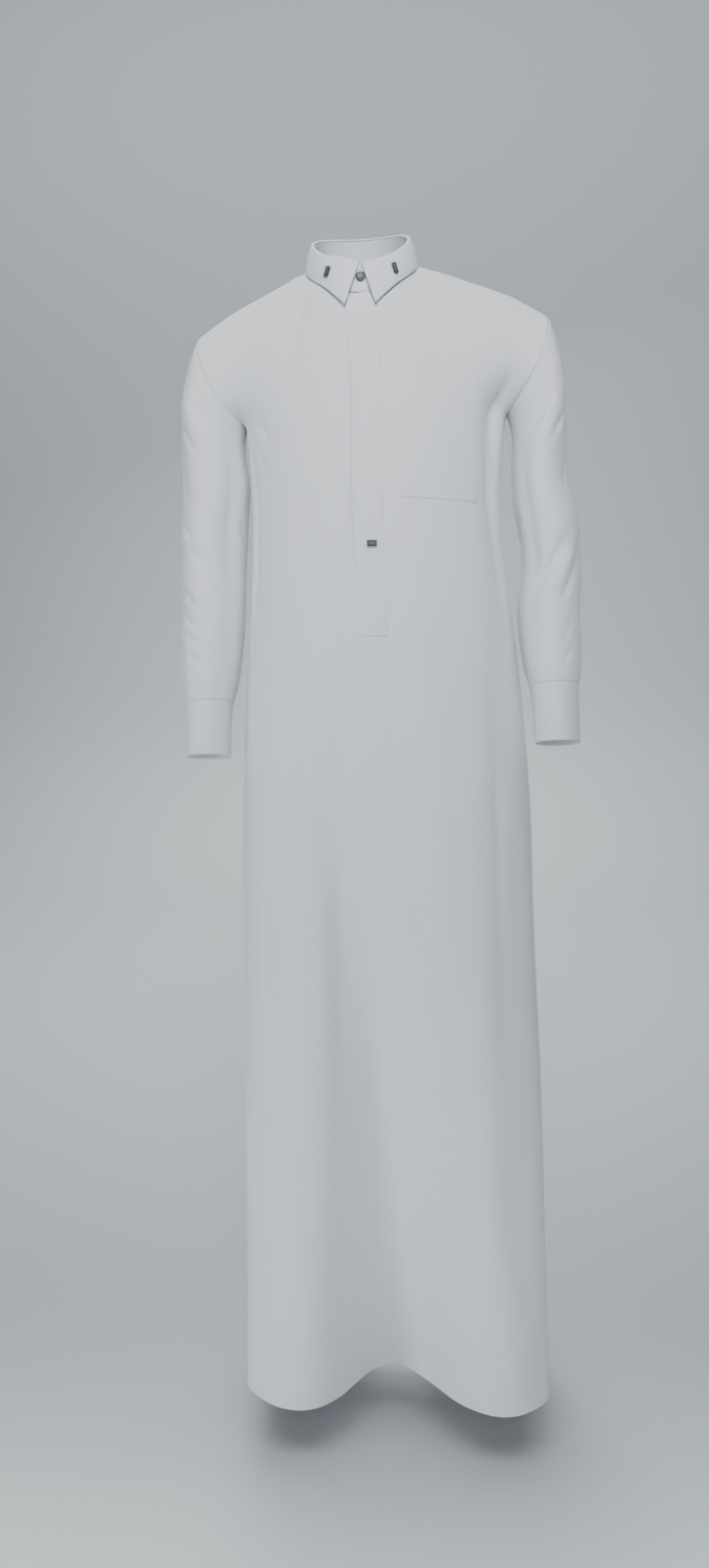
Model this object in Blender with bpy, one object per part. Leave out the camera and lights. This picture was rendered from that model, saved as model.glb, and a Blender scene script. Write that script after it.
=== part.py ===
"""A long white shirt robe (thobe) in the hollow form it has when it is worn.

Metres, +Z up, the front towards -Y and the wearer's left towards +X.  The origin is
between the shoulders, level with the foot of the neck, where the wearer carries it.
Heights are given as drops below that origin.
"""

import math
from collections import namedtuple
from functools import lru_cache

import bmesh
import bpy
import numpy as np
from mathutils import Matrix, Vector
from mathutils.bvhtree import BVHTree

for leftover in list(bpy.data.objects):
    bpy.data.objects.remove(leftover, do_unlink=True)

# ---------------------------------------------------------------- driving dimensions

CLOTH = 0.0015            # wall of the robe's cloth
CUFF_CLOTH = 0.0022       # two plies with an interlining
PLACKET_CLOTH = 0.0016
COLLAR_CLOTH = 0.0018
SEAM_GAP = 0.0003         # between neighbouring pieces
ARMPIT_EASE = 0.0005      # more of it on each side under the arm, where the cloth
ARMPIT_CROWD = (0.020, 0.045)  # doubles back: all of it near the armpit, none farther off

HEM_DROP = 1.475
ARMPIT_DROP = 0.182
SHOULDER_TIP_DROP = 0.065
# how high the shoulder line arches before it falls into the sleeve, and how near the sleeve that is
SHOULDER_ARCH = {1: (0.067, 4), -1: (0.120, 8)}
SHOULDER_TIP_X = 0.2165
ARMPIT_X = 0.165
ARMHOLE_FRONT = 0.060     # reach of the armhole before and behind the shoulder seam
ARMHOLE_BACK = 0.066

NECK_X = -0.0105          # the neck leans a little towards the wearer's right
NECK_TURN = 0.0040        # and is turned a little, its front towards the wearer's left
FRONT_X = NECK_X + NECK_TURN   # middle of the collar's front
NECK_HALF_WIDTH = 0.0665
NECK_FRONT_Y = -0.078
NECK_BACK_Y = 0.058
NECK_FRONT_DROP = 0.042
NECK_SIDE_RISE = 0.003
NECK_BACK_RISE = 0.019

PLACKET_HALF_WIDTH = 0.018
PLACKET_FOOT_DROP = 0.448
SLIT_FOOT_DROP = 0.369
SLIT_SIDES = (-0.0145, -0.0125)
UNDERLAP_SIDES = (-0.028, 0.002)
UNDERLAP_FOOT_DROP = 0.408

POCKET_SIDES = (0.038, 0.139)     # measured along the cloth from the centre front
POCKET_TOP_DROP = 0.206
POCKET_FOOT_DROP = 0.285
POCKET_SLANT = 0.008              # its outer side hangs lower

STAND_HEIGHT = 0.0325            # at the front and, nearly, at the back
STAND_SIDE_DIP = 0.0030
STAND_RIGHT_RISE = 0.0050        # the band stands higher beside the throat on the wearer's right
RIGHT_RISE_SPAN = (3, 48)        # bearings from the front over which it does
STAND_LEAN = 0.0070              # how far its top stands in from its foot
STAND_LAP = (0.018, 0.006)       # its upper end and its under end, past the centre
STAND_ROWS = 3
STAND_FOOT_GAP = 0.0009          # over the chords of the neckline
FALL_FRONT_GAP = 4.2             # bearing in degrees where the two fronts begin
FALL_TIP_BEARING = 13.1
FALL_LIFT = (0.0058, 0.0036)     # clear of the robe at the tips and elsewhere
FALL_COLUMNS = 15                # on each side of the centre back
FALL_ROWS = 4                    # below the fold
FALL_BOW = 0.0016

BUTTON_DIAMETER = 0.0115
BUTTON_HEIGHT = 0.0024
BUTTON_DROP = 0.0232
PLACKET_STUD_SIZE = (0.0117, 0.0070)
COLLAR_STUD_SIZE = (0.0060, 0.0124)
STUD_HEIGHT = 0.0026
PLACKET_STUD_X = 0.001
PLACKET_STUD_DROP = 0.337
COLLAR_STUD_X = 0.040
COLLAR_STUD_DROP = 0.0135
COLLAR_STUD_TILT = 16.0          # degrees, in line with the fronts of the fall

# The body's level sections.  valley and seat are how far the cloth sinks between the
# legs, in front and behind.
Section = namedtuple("Section", "drop centre half_width front back squareness valley seat")
BODY_SECTIONS = [
    Section(0.100, 0.000, 0.1680, 0.108, 0.116, 2.15, 0.000, 0.000),
    Section(0.182, 0.000, 0.1650, 0.114, 0.118, 2.15, 0.000, 0.000),
    Section(0.285, -0.003, 0.1580, 0.120, 0.118, 2.20, 0.000, 0.000),
    Section(0.435, -0.001, 0.1700, 0.122, 0.116, 2.30, 0.000, 0.000),
    Section(0.565, -0.002, 0.1840, 0.122, 0.122, 2.40, 0.002, 0.002),
    Section(0.695, -0.002, 0.1915, 0.122, 0.129, 2.55, 0.006, 0.008),
    Section(0.815, -0.003, 0.1915, 0.123, 0.131, 2.75, 0.016, 0.014),
    Section(1.050, -0.004, 0.1965, 0.127, 0.132, 3.10, 0.048, 0.026),
    Section(1.265, -0.005, 0.1980, 0.131, 0.134, 3.50, 0.084, 0.038),
    Section(1.475, -0.008, 0.2030, 0.137, 0.138, 4.00, 0.123, 0.050),
]
LEFT_SQUARENESS = 1.7      # how much squarer the wearer's left side of the skirt hangs
VALLEY_X = -0.010
VALLEY_LEFT = 0.060       # half widths of the front valley towards -X and +X
VALLEY_RIGHT = 0.087
SEAT_HALF_WIDTH = 0.075

# Long folds of the skirt.  bearing is counted from the centre front towards +X.
SkirtFold = namedtuple("SkirtFold", "bearing start_drop full_drop height half_width")
SKIRT_FOLDS = [
    SkirtFold(76, 0.50, 1.40, 0.012, 9),
    SkirtFold(101, 0.62, 1.45, 0.014, 10),
    SkirtFold(130, 0.45, 1.30, 0.013, 11),
    SkirtFold(163, 0.35, 1.20, 0.012, 10),
    SkirtFold(-74, 0.55, 1.40, 0.012, 9),
    SkirtFold(-104, 0.55, 1.45, 0.015, 11),
    SkirtFold(-136, 0.40, 1.30, 0.012, 11),
    SkirtFold(-158, 0.60, 1.35, 0.010, 9),
]

# The sleeves' rings.  pitch tips a ring so that its front edge is the higher.  The last
# two rings are the cuff's.
Ring = namedtuple("Ring", "drop centre_x centre_y half_width half_depth pitch")
SLEEVE_RINGS_LEFT = [
    Ring(0.262, 0.2045, 0.002, 0.0350, 0.068, 0),
    Ring(0.308, 0.2140, 0.001, 0.0405, 0.065, 1),
    Ring(0.355, 0.2180, -0.001, 0.0365, 0.062, 2),
    Ring(0.425, 0.2145, -0.012, 0.0405, 0.058, 7),
    Ring(0.473, 0.2165, -0.022, 0.0385, 0.054, 10),
    Ring(0.504, 0.2185, -0.031, 0.0360, 0.049, 12),
    Ring(0.517, 0.2190, -0.034, 0.0305, 0.0435, 12),
    Ring(0.590, 0.2215, -0.052, 0.0286, 0.0415, 12),
]
SLEEVE_RINGS_RIGHT = [
    Ring(0.262, 0.2085, 0.002, 0.0425, 0.068, 0),
    Ring(0.308, 0.2130, 0.001, 0.0420, 0.065, 1),
    Ring(0.355, 0.2165, -0.001, 0.0415, 0.062, 2),
    Ring(0.425, 0.2190, -0.012, 0.0400, 0.058, 7),
    Ring(0.477, 0.2215, -0.022, 0.0380, 0.054, 10),
    Ring(0.514, 0.2240, -0.031, 0.0350, 0.049, 12),
    Ring(0.528, 0.2250, -0.035, 0.0305, 0.0435, 12),
    Ring(0.598, 0.2262, -0.052, 0.0290, 0.0415, 12),
]
SLEEVE_RINGS = {1: SLEEVE_RINGS_LEFT, -1: SLEEVE_RINGS_RIGHT}

# Creases of the sleeves, from one end to the other.  bearing 0 is the outer side,
# 90 the front, 180 the side next to the body, 270 the back.
SleeveFold = namedtuple("SleeveFold", "bearing_a drop_a bearing_b drop_b height half_width")
SLEEVE_FOLDS = {
    1: [
        SleeveFold(30, 0.150, 118, 0.235, 0.0040, 0.013),
        SleeveFold(20, 0.290, 120, 0.375, 0.0040, 0.014),
        SleeveFold(-25, 0.345, 50, 0.405, 0.0035, 0.012),
        SleeveFold(230, 0.200, 300, 0.290, 0.0040, 0.014),
        SleeveFold(250, 0.350, 330, 0.430, 0.0045, 0.013),
    ],
    -1: [
        SleeveFold(20, 0.135, 112, 0.215, 0.0040, 0.012),
        SleeveFold(5, 0.300, 75, 0.325, 0.0045, 0.012),
        SleeveFold(20, 0.345, 100, 0.400, 0.0040, 0.013),
        SleeveFold(-10, 0.425, 80, 0.470, 0.0035, 0.011),
        SleeveFold(235, 0.190, 305, 0.275, 0.0040, 0.014),
        SleeveFold(255, 0.340, 335, 0.420, 0.0045, 0.013),
    ],
}

# The fall's outer edge, as heights round the neck.  bearing 0 is the centre front.
FallEdge = namedtuple("FallEdge", "bearing height")
FALL_EDGE = [
    FallEdge(FALL_TIP_BEARING, -0.060),
    FallEdge(25, -0.046),
    FallEdge(37, -0.034),
    FallEdge(72, -0.004),
    FallEdge(95, 0.006),
    FallEdge(135, 0.013),
    FallEdge(180, 0.018),
]

# Lines of the cutting grid.  A front line is placed by its distance from the centre
# front at the chest; the outermost one on each side is the side seam and armhole.
FRONT_LINES = [
    -0.203, -0.180, -0.158, -0.136, -0.114, -0.092, -0.074, -0.056, -0.040,
    UNDERLAP_SIDES[0], -PLACKET_HALF_WIDTH, SLIT_SIDES[0], SLIT_SIDES[1],
    UNDERLAP_SIDES[1], PLACKET_HALF_WIDTH, POCKET_SIDES[0], 0.056, 0.074, 0.092,
    0.108, 0.124, POCKET_SIDES[1], 0.168, 0.197,
]
CHEST_HALF_ARC = 0.226
SHOULDER_LINES = 6
NECK_SIDE_LINE = FRONT_LINES[-SHOULDER_LINES]
BACK_NECK_LINES = 8
UPPER_ROWS = 10
SKIRT_ROWS = 13
CHEST_DROPS = [
    PLACKET_FOOT_DROP, UNDERLAP_FOOT_DROP, SLIT_FOOT_DROP, 0.328, POCKET_FOOT_DROP,
    0.248, POCKET_TOP_DROP, ARMPIT_DROP,
]
LEVEL_DROPS = list(np.linspace(HEM_DROP, PLACKET_FOOT_DROP, SKIRT_ROWS, endpoint=False))
LEVEL_DROPS += CHEST_DROPS
TOP_ROW = len(LEVEL_DROPS) - 1 + UPPER_ROWS
SKIRT_BLEND = (0.46, 0.90)   # where the grid lines spread out evenly over the skirt

# How long the cloth of the chest keeps rising upright, and the directions in which it
# reaches the shoulder seam (at the sleeve, at the neck) and the neckline (side, middle).
RISE_PULL = 0.85
FRONT_SHOULDER_PULLS = (Vector((0, 1.05, 0.10)), Vector((0, 1.05, 0.35)))
FRONT_NECK_PULLS = (Vector((0, 1.05, 0.35)), Vector((0, 0.55, 0.75)))
BACK_SHOULDER_PULLS = (Vector((0, -1.15, 0.15)), Vector((0, -1.15, 0.35)))
BACK_NECK_PULLS = (Vector((0, -1.15, 0.35)), Vector((0, -0.75, 0.75)))
FAIRING_PASSES = 6

# The armhole swells outwards between the armpit and the shoulder's tip.
ARMHOLE_BOW = 0.055
ARMHOLE_BOW_RATE = 1.1       # above 1 the swell is reached before the tip

# The sleeve leaves the armhole along (outwards, down), under the arm and at the tip.
CAP_LEAVE_UNDER = (0.38, 0.95)
CAP_LEAVE_TIP = {1: (0.42, 0.78), -1: (0.50, 0.80)}
SLEEVE_RADIUS = 0.055        # turns bearings into distances along the sleeve's creases
CAP_ROWS = 7
TUBE_ROWS = 11
CUFF_ROWS = 3


# ---------------------------------------------------------------- small helpers

def column_at(table, column, place):
    """Read a table's column where its first column is place, on a smooth curve."""
    places = [row[0] for row in table]
    values = [getattr(row, column) for row in table]
    place = min(max(place, places[0]), places[-1])
    low = min(int(np.searchsorted(places, place, side="right")) - 1, len(places) - 2)
    span = places[low + 1] - places[low]
    slope = [0.0, 0.0]
    for end in (0, 1):
        before = max(low + end - 1, 0)
        after = min(low + end + 1, len(places) - 1)
        slope[end] = (values[after] - values[before]) / (places[after] - places[before])
    t = (place - places[low]) / span
    return hermite(values[low], values[low + 1], slope[0] * span, slope[1] * span, t)


def hermite(start, end, start_pull, end_pull, t):
    """Cubic curve from start to end that leaves and arrives along the two pulls."""
    return (
        start * (2 * t**3 - 3 * t**2 + 1)
        + start_pull * (t**3 - 2 * t**2 + t)
        + end * (-2 * t**3 + 3 * t**2)
        + end_pull * (t**3 - t**2)
    )


def ease(value, low, high):
    """0 below low, 1 above high, smooth between them."""
    t = min(max((value - low) / (high - low), 0.0), 1.0)
    return t * t * (3 - 2 * t)


def signed_power(value, power):
    return math.copysign(abs(value) ** power, value)


def fabric(name, colour, roughness, metallic=0.0):
    """A plain Principled material."""
    material = bpy.data.materials.new(name)
    material.use_nodes = True
    shader = material.node_tree.nodes["Principled BSDF"]
    shader.inputs["Base Color"].default_value = (*colour, 1.0)
    shader.inputs["Roughness"].default_value = roughness
    shader.inputs["Metallic"].default_value = metallic
    material.diffuse_color = (*colour, 1.0)
    return material


surfaces = {}


def finish(name, shape, material):
    """Turn a closed bmesh into a named, smooth shaded object."""
    bmesh.ops.recalc_face_normals(shape, faces=shape.faces)
    surfaces[name] = BVHTree.FromBMesh(shape)
    mesh = bpy.data.meshes.new(name)
    shape.to_mesh(mesh)
    shape.free()
    mesh.shade_smooth()
    mesh.set_sharp_from_angle(angle=math.radians(40))
    piece = bpy.data.objects.new(name, mesh)
    piece.data.materials.append(material)
    bpy.context.scene.collection.objects.link(piece)
    return piece


def lay_grid(shape, points):
    """Add a grid of faces whose vertices lie at points[row][column]."""
    rows = len(points) - 1
    columns = len(points[0]) - 1
    grid = bmesh.ops.create_grid(shape, x_segments=columns, y_segments=rows, size=0.5)
    for index, vertex in enumerate(grid["verts"]):
        vertex.co = points[index // (columns + 1)][index % (columns + 1)]
    return grid["verts"]


def draw_in_rim(shape, distance):
    """Pull the open rim of a sheet back along the cloth, which opens the seam gap."""
    moves = {}
    for vertex in shape.verts:
        if not vertex.is_boundary:
            continue
        rims = [edge for edge in vertex.link_edges if edge.is_boundary]
        pull = Vector()
        for edge in rims:
            face = edge.link_faces[0]
            along = (edge.verts[1].co - edge.verts[0].co).normalized()
            inward = face.calc_center_median() - vertex.co
            pull += (inward - along * inward.dot(along)).normalized()
        armpit = Vector((math.copysign(ARMPIT_X, vertex.co.x), 0, -ARMPIT_DROP))
        crowding = 1 - ease((vertex.co - armpit).length, *ARMPIT_CROWD)
        moves[vertex] = pull.normalized() * (distance + ARMPIT_EASE * crowding)
    for vertex, move in moves.items():
        vertex.co += move


def thicken(shape, outward, thickness):
    """Give a sheet its wall, inwards from its outer face along the stored directions."""
    made = bmesh.ops.extrude_face_region(shape, geom=list(shape.faces), use_keep_orig=True)
    for item in made["geom"]:
        if isinstance(item, bmesh.types.BMVert):
            item.co -= item[outward] * thickness


# ---------------------------------------------------------------- body sections

def body_point(drop, bearing):
    """Point of the robe's outer face at a drop and a bearing in degrees."""
    angle = math.radians(bearing)
    squareness = column_at(BODY_SECTIONS, "squareness", drop)
    if math.sin(angle) > 0:
        squareness = 2 + (squareness - 2) * LEFT_SQUARENESS
    power = 2 / squareness
    front_side = math.cos(angle) > 0
    depth = column_at(BODY_SECTIONS, "front" if front_side else "back", drop)
    x = column_at(BODY_SECTIONS, "half_width", drop) * signed_power(math.sin(angle), power)
    y = -depth * signed_power(math.cos(angle), power)
    if front_side:
        width = VALLEY_LEFT if x < VALLEY_X else VALLEY_RIGHT
        sink = column_at(BODY_SECTIONS, "valley", drop)
        y += sink * math.exp(-((x - VALLEY_X) / width) ** 2)
    else:
        sink = column_at(BODY_SECTIONS, "seat", drop)
        y -= sink * math.exp(-(x / SEAT_HALF_WIDTH) ** 2)
    x += column_at(BODY_SECTIONS, "centre", drop)
    swell = 0.0
    for fold in SKIRT_FOLDS:
        away = (bearing - fold.bearing + 180) % 360 - 180
        lift = fold.height * ease(drop, fold.start_drop, fold.full_drop)
        swell += lift * math.exp(-(away / fold.half_width) ** 2)
    reach = math.hypot(x, y)
    return Vector((x * (1 + swell / reach), y * (1 + swell / reach), -drop))


@lru_cache(maxsize=None)
def half_section(drop, first_bearing, last_bearing):
    """Part of a level section as points, with their distances along the cloth."""
    bearings = np.linspace(first_bearing, last_bearing, 91)
    points = [body_point(drop, bearing) for bearing in bearings]
    steps = [(after - before).length for before, after in zip(points, points[1:])]
    return points, np.concatenate([[0.0], np.cumsum(steps)])


def along_section(points, distances, distance):
    """Point at a distance along such a section."""
    after = min(max(int(np.searchsorted(distances, distance)), 1), len(points) - 1)
    step = distances[after] - distances[after - 1]
    return points[after - 1].lerp(points[after], (distance - distances[after - 1]) / step)


def pocket_dip(line, drop):
    """How much lower a line crosses the level rows that edge the slanting pocket."""
    if not POCKET_TOP_DROP <= drop <= POCKET_FOOT_DROP or FRONT_LINES[line - 1] < 0:
        return 0.0
    inner, outer = (FRONT_LINES.index(side) + 1 for side in POCKET_SIDES)
    beyond = len(FRONT_LINES) + 1 - outer
    return POCKET_SLANT * min(max(line - inner, 0) / (outer - inner),
                              (outer + beyond - line) / beyond)


def front_row(level_drop):
    """Points of one row of the front, from the right side seam to the left."""
    spread = ease(level_drop, *SKIRT_BLEND)
    last = len(FRONT_LINES) + 1
    row = []
    for line in range(last + 1):
        even_share = 2 * line / last - 1
        side = -1 if even_share < 0 else 1
        drop = level_drop
        if 0 < line < last:
            drop += pocket_dip(line, level_drop)
        halves = {turn: half_section(drop, 0, 90 * turn) for turn in (-1, 1)}
        half_arc = halves[side][1][-1]
        if line in (0, last):
            chest = side * half_arc
        else:
            chest = FRONT_LINES[line - 1]
        if abs(chest) > POCKET_SIDES[1] and line not in (0, last):
            stretch = (half_arc - POCKET_SIDES[1]) / (CHEST_HALF_ARC - POCKET_SIDES[1])
            outer = (abs(chest) - POCKET_SIDES[1]) * stretch
            chest = side * (POCKET_SIDES[1] + outer)
        place = chest + (half_arc * even_share - chest) * spread
        points, distances = halves[-1 if place < 0 else 1]
        row.append(along_section(points, distances, abs(place)))
    return row


def back_row(drop):
    """Points of one level row of the back, from the left side seam to the right."""
    row = []
    columns = 2 * SHOULDER_LINES + BACK_NECK_LINES
    for first, last, steps in ((90, 180, range(0, columns // 2)),
                               (-90, -180, range(columns // 2, -1, -1))):
        points, distances = half_section(drop, first, last)
        for step in steps:
            row.append(along_section(points, distances, distances[-1] * 2 * step / columns))
    return row


# ---------------------------------------------------------------- neck and armhole

def neck_point(bearing, rise=0.0, inset=0.0):
    """Point on the ring where the collar stand meets the robe, or above it."""
    angle = math.radians(bearing)
    centre_y = (NECK_FRONT_Y + NECK_BACK_Y) / 2
    reach_y = (NECK_BACK_Y - NECK_FRONT_Y) / 2
    middle = (NECK_BACK_RISE - NECK_FRONT_DROP) / 2
    swing = (NECK_BACK_RISE + NECK_FRONT_DROP) / 2
    height = middle - swing * math.cos(angle)
    height += (NECK_SIDE_RISE - middle) * math.sin(angle) ** 2
    return Vector((
        NECK_X + NECK_TURN * math.cos(angle) + (NECK_HALF_WIDTH - inset) * math.sin(angle),
        centre_y - (reach_y - inset) * math.cos(angle),
        height + rise,
    ))


def neck_bearing_at(distance):
    """Bearing of the point that lies a distance along the neck ring from its front."""
    bearings = np.linspace(0, 90, 91)
    points = [neck_point(bearing) for bearing in bearings]
    steps = [(after - before).length for before, after in zip(points, points[1:])]
    distances = np.concatenate([[0.0], np.cumsum(steps)])
    quarter = distances[-1]
    if abs(distance) > PLACKET_HALF_WIDTH:
        share = (abs(distance) - PLACKET_HALF_WIDTH) / (NECK_SIDE_LINE - PLACKET_HALF_WIDTH)
        reached = PLACKET_HALF_WIDTH + share * (quarter - PLACKET_HALF_WIDTH)
    else:
        reached = abs(distance)
    return math.copysign(float(np.interp(reached, distances, bearings)), distance)


def shoulder_point(share, side):
    """Point of the shoulder seam, from the neck at 0 to the sleeve at 1."""
    start = neck_point(90 * side)
    drop = SHOULDER_TIP_DROP * share**1.25 - start.z * (1 - share)
    arch, lateness = SHOULDER_ARCH[side]
    drop -= arch * share**lateness * (1 - share)
    x = start.x + (side * SHOULDER_TIP_X - start.x) * share
    return Vector((x, start.y * (1 - share) + 0.002 * share, -drop))


def armhole_point(bearing, side):
    """Point of the armhole: 0 at the shoulder seam, 90 front, 180 armpit, 270 back."""
    angle = math.radians(bearing)
    middle = (SHOULDER_TIP_DROP + ARMPIT_DROP) / 2
    reach = (ARMPIT_DROP - SHOULDER_TIP_DROP) / 2
    height = -middle + reach * math.cos(angle)
    share = (height + ARMPIT_DROP) / (2 * reach)
    bow = ARMHOLE_BOW * math.sin(min(share * ARMHOLE_BOW_RATE, 1.0) * math.pi / 2)
    x = ARMPIT_X + bow + (SHOULDER_TIP_X - ARMPIT_X - ARMHOLE_BOW) * share**4
    depth = ARMHOLE_FRONT if math.sin(angle) > 0 else ARMHOLE_BACK
    y = 0.002 * (1 + math.cos(angle)) / 2 - depth * math.sin(angle)
    return Vector((side * x, y, height))


# ---------------------------------------------------------------- upper front and back

def upper_rows(foot_row, below_row, top_row, top_pulls, first_side):
    """Rows from the armpit to the neck, shoulder seams and armholes of one panel."""
    columns = len(foot_row) - 1
    curves = []
    for foot, below, top, pull in zip(foot_row, below_row, top_row, top_pulls):
        reach = (top - foot).length
        rising = (foot - below).normalized() * reach * RISE_PULL
        curves.append([
            hermite(foot, top, rising, pull * reach, row / UPPER_ROWS)
            for row in range(UPPER_ROWS + 1)
        ])
    rows = []
    for row in range(UPPER_ROWS + 1):
        bearing = 180 + first_side * 180 * row / UPPER_ROWS
        bends = []
        for side, edge in ((first_side, 0), (-first_side, columns)):
            bends.append(armhole_point(bearing, side) - curves[edge][row])
        points = []
        for column in range(columns + 1):
            point = curves[column][row].copy()
            for bend, away in zip(bends, (column, columns - column)):
                if away < SHOULDER_LINES:
                    point += bend * (1 - away / SHOULDER_LINES) ** 2
            points.append(point)
        rows.append(points)
    return rows


def panel_rows(level_row, first_side, neck_bearing, shoulder_pulls, neck_pulls):
    """Rows of the front or the back, from the hem to the shoulder seams and the neck."""
    rows = [level_row(drop) for drop in LEVEL_DROPS]
    columns = len(rows[0]) - 1
    top_row = []
    pulls = []
    for line in range(columns + 1):
        side = first_side if line < columns / 2 else -first_side
        away = min(line, columns - line)
        if away <= SHOULDER_LINES:
            share = away / SHOULDER_LINES
            top_row.append(shoulder_point(1 - share, side))
            pulls.append(shoulder_pulls[0].lerp(shoulder_pulls[1], share))
        else:
            bearing = neck_bearing(line)
            share = abs(abs(bearing) - 90) / 90
            top_row.append(neck_point(bearing))
            pulls.append(neck_pulls[0].lerp(neck_pulls[1], share))
    return rows + upper_rows(rows[-1], rows[-2], top_row, pulls, first_side)[1:]


def front_neck_bearing(line):
    return neck_bearing_at(FRONT_LINES[line - 1])


def back_neck_bearing(line):
    return 90 + 180 * (line - SHOULDER_LINES) / BACK_NECK_LINES


# ---------------------------------------------------------------- sleeves and cuffs

def sleeve_point(drop, bearing, side):
    """Point of the sleeve's tube: 0 on its outer side, 90 in front."""
    rings = SLEEVE_RINGS[side]
    angle = math.radians(bearing)
    centre_x = column_at(rings, "centre_x", drop)
    centre_y = column_at(rings, "centre_y", drop)
    x = column_at(rings, "half_width", drop) * math.cos(angle)
    y = -column_at(rings, "half_depth", drop) * math.sin(angle)
    tip = math.tan(math.radians(column_at(rings, "pitch", drop)))
    return Vector((side * (centre_x + x), centre_y + y, -drop - tip * y))


def sleeve_crease(folds, drop, bearing):
    """How far the creases lift the sleeve's cloth at one place."""
    lift = 0.0
    for fold in folds:
        run = Vector((math.radians(fold.bearing_b - fold.bearing_a) * SLEEVE_RADIUS,
                      fold.drop_b - fold.drop_a))
        away = (bearing - fold.bearing_a + 180) % 360 - 180
        place = Vector((math.radians(away) * SLEEVE_RADIUS, drop - fold.drop_a))
        share = place.dot(run) / run.length_squared
        off = (place - run * share).length
        ends = ease(share, -0.15, 0.30) * ease(1 - share, -0.15, 0.30)
        lift += fold.height * ends * math.exp(-(off / fold.half_width) ** 2)
    return lift


def sleeve_rows(side):
    """Rows of one sleeve, from the armhole down to the cuff."""
    columns = 2 * UPPER_ROWS
    bearings = [360 * column / columns for column in range(columns + 1)]
    tube_drop = SLEEVE_RINGS[side][0].drop
    gather_drop = SLEEVE_RINGS[side][-3].drop
    cuff_drop = SLEEVE_RINGS[side][-2].drop
    tip_leave = CAP_LEAVE_TIP[side]
    rows = [[armhole_point(bearing, side) for bearing in bearings]]
    for row in range(1, CAP_ROWS):
        points = []
        for bearing in bearings:
            start = armhole_point(bearing, side)
            end = sleeve_point(tube_drop, bearing, side)
            reach = (end - start).length
            height = (1 + math.cos(math.radians(bearing))) / 2
            outwards = float(np.interp(height, (0, 1), (CAP_LEAVE_UNDER[0], tip_leave[0])))
            down = float(np.interp(height, (0, 1), (CAP_LEAVE_UNDER[1], tip_leave[1])))
            leave = Vector((side * outwards, 0, -down))
            arrive = Vector((0, 0, -1))
            points.append(hermite(start, end, leave * reach, arrive * reach, row / CAP_ROWS))
        rows.append(points)
    drops = list(np.linspace(tube_drop, gather_drop, TUBE_ROWS)) + [cuff_drop]
    for drop in drops:
        rows.append([sleeve_point(drop, bearing, side) for bearing in bearings])
    for row in rows[1:-2]:
        for column, bearing in enumerate(bearings):
            angle = math.radians(bearing)
            outwards = Vector((side * math.cos(angle), -math.sin(angle), 0))
            near_body = ease(-math.cos(angle), 0.3, 0.9)
            lift = sleeve_crease(SLEEVE_FOLDS[side], -row[column].z, bearing)
            row[column] = row[column] + outwards * lift * (1 - near_body)
    return rows


def cuff_rows(side):
    """Rows of one cuff, from the sleeve down to its open foot."""
    columns = 2 * UPPER_ROWS
    top, foot = (ring.drop for ring in SLEEVE_RINGS[side][-2:])
    return [
        [sleeve_point(drop, 360 * column / columns, side) for column in range(columns + 1)]
        for drop in np.linspace(top, foot, CUFF_ROWS + 1)
    ]


# ---------------------------------------------------------------- joining and cutting

white_cloth = fabric("white_cloth", (0.80, 0.82, 0.83), 0.75)
collar_cloth = fabric("collar_cloth", (0.80, 0.82, 0.83), 0.70)
dark_enamel = fabric("dark_enamel", (0.035, 0.042, 0.042), 0.35)

PANELS = [
    ("front", panel_rows(front_row, -1, front_neck_bearing, FRONT_SHOULDER_PULLS,
                         FRONT_NECK_PULLS), CLOTH, white_cloth),
    ("back", panel_rows(back_row, 1, back_neck_bearing, BACK_SHOULDER_PULLS,
                        BACK_NECK_PULLS), CLOTH, white_cloth),
    ("sleeve_left", sleeve_rows(1), CLOTH, white_cloth),
    ("sleeve_right", sleeve_rows(-1), CLOTH, white_cloth),
    ("cuff_left", cuff_rows(1), CUFF_CLOTH, white_cloth),
    ("cuff_right", cuff_rows(-1), CUFF_CLOTH, white_cloth),
]

garment = bmesh.new()
panel_of = garment.faces.layers.int.new("panel")
outward = garment.verts.layers.float_vector.new("outward")
row_of = garment.verts.layers.int.new("row")
line_of = garment.verts.layers.int.new("line")
for number, (name, rows, thickness, material) in enumerate(PANELS):
    vertices = lay_grid(garment, rows)
    for index, vertex in enumerate(vertices):
        vertex[row_of], vertex[line_of] = divmod(index, len(rows[0]))
        for face in vertex.link_faces:
            face[panel_of] = number
bmesh.ops.remove_doubles(garment, verts=garment.verts, dist=0.00002)
bmesh.ops.recalc_face_normals(garment, faces=garment.faces)
if min(garment.faces, key=lambda face: face.calc_center_median().y).normal.y > 0:
    bmesh.ops.reverse_faces(garment, faces=garment.faces)

upper_cloth = []
for vertex in garment.verts:
    panels = {face[panel_of] for face in vertex.link_faces}
    inside = not vertex.is_boundary and len(panels) == 1 and panels <= {0, 1}
    if inside and vertex.co.z > 0.001 - ARMPIT_DROP:
        upper_cloth.append(vertex)
for repeat in range(FAIRING_PASSES):
    bmesh.ops.smooth_vert(garment, verts=upper_cloth, factor=0.5,
                          use_axis_x=False, use_axis_y=True, use_axis_z=True)
garment.normal_update()
for vertex in garment.verts:
    vertex[outward] = vertex.normal


def cut_panel(number, keep=None):
    """The faces of one panel as a sheet of their own, all of them or those kept."""
    sheet = garment.copy()
    layer = sheet.faces.layers.int["panel"]
    others = [
        face for face in sheet.faces
        if face[layer] != number or (keep and not keep(sheet, face))
    ]
    bmesh.ops.delete(sheet, geom=others, context="FACES")
    return sheet


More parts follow.
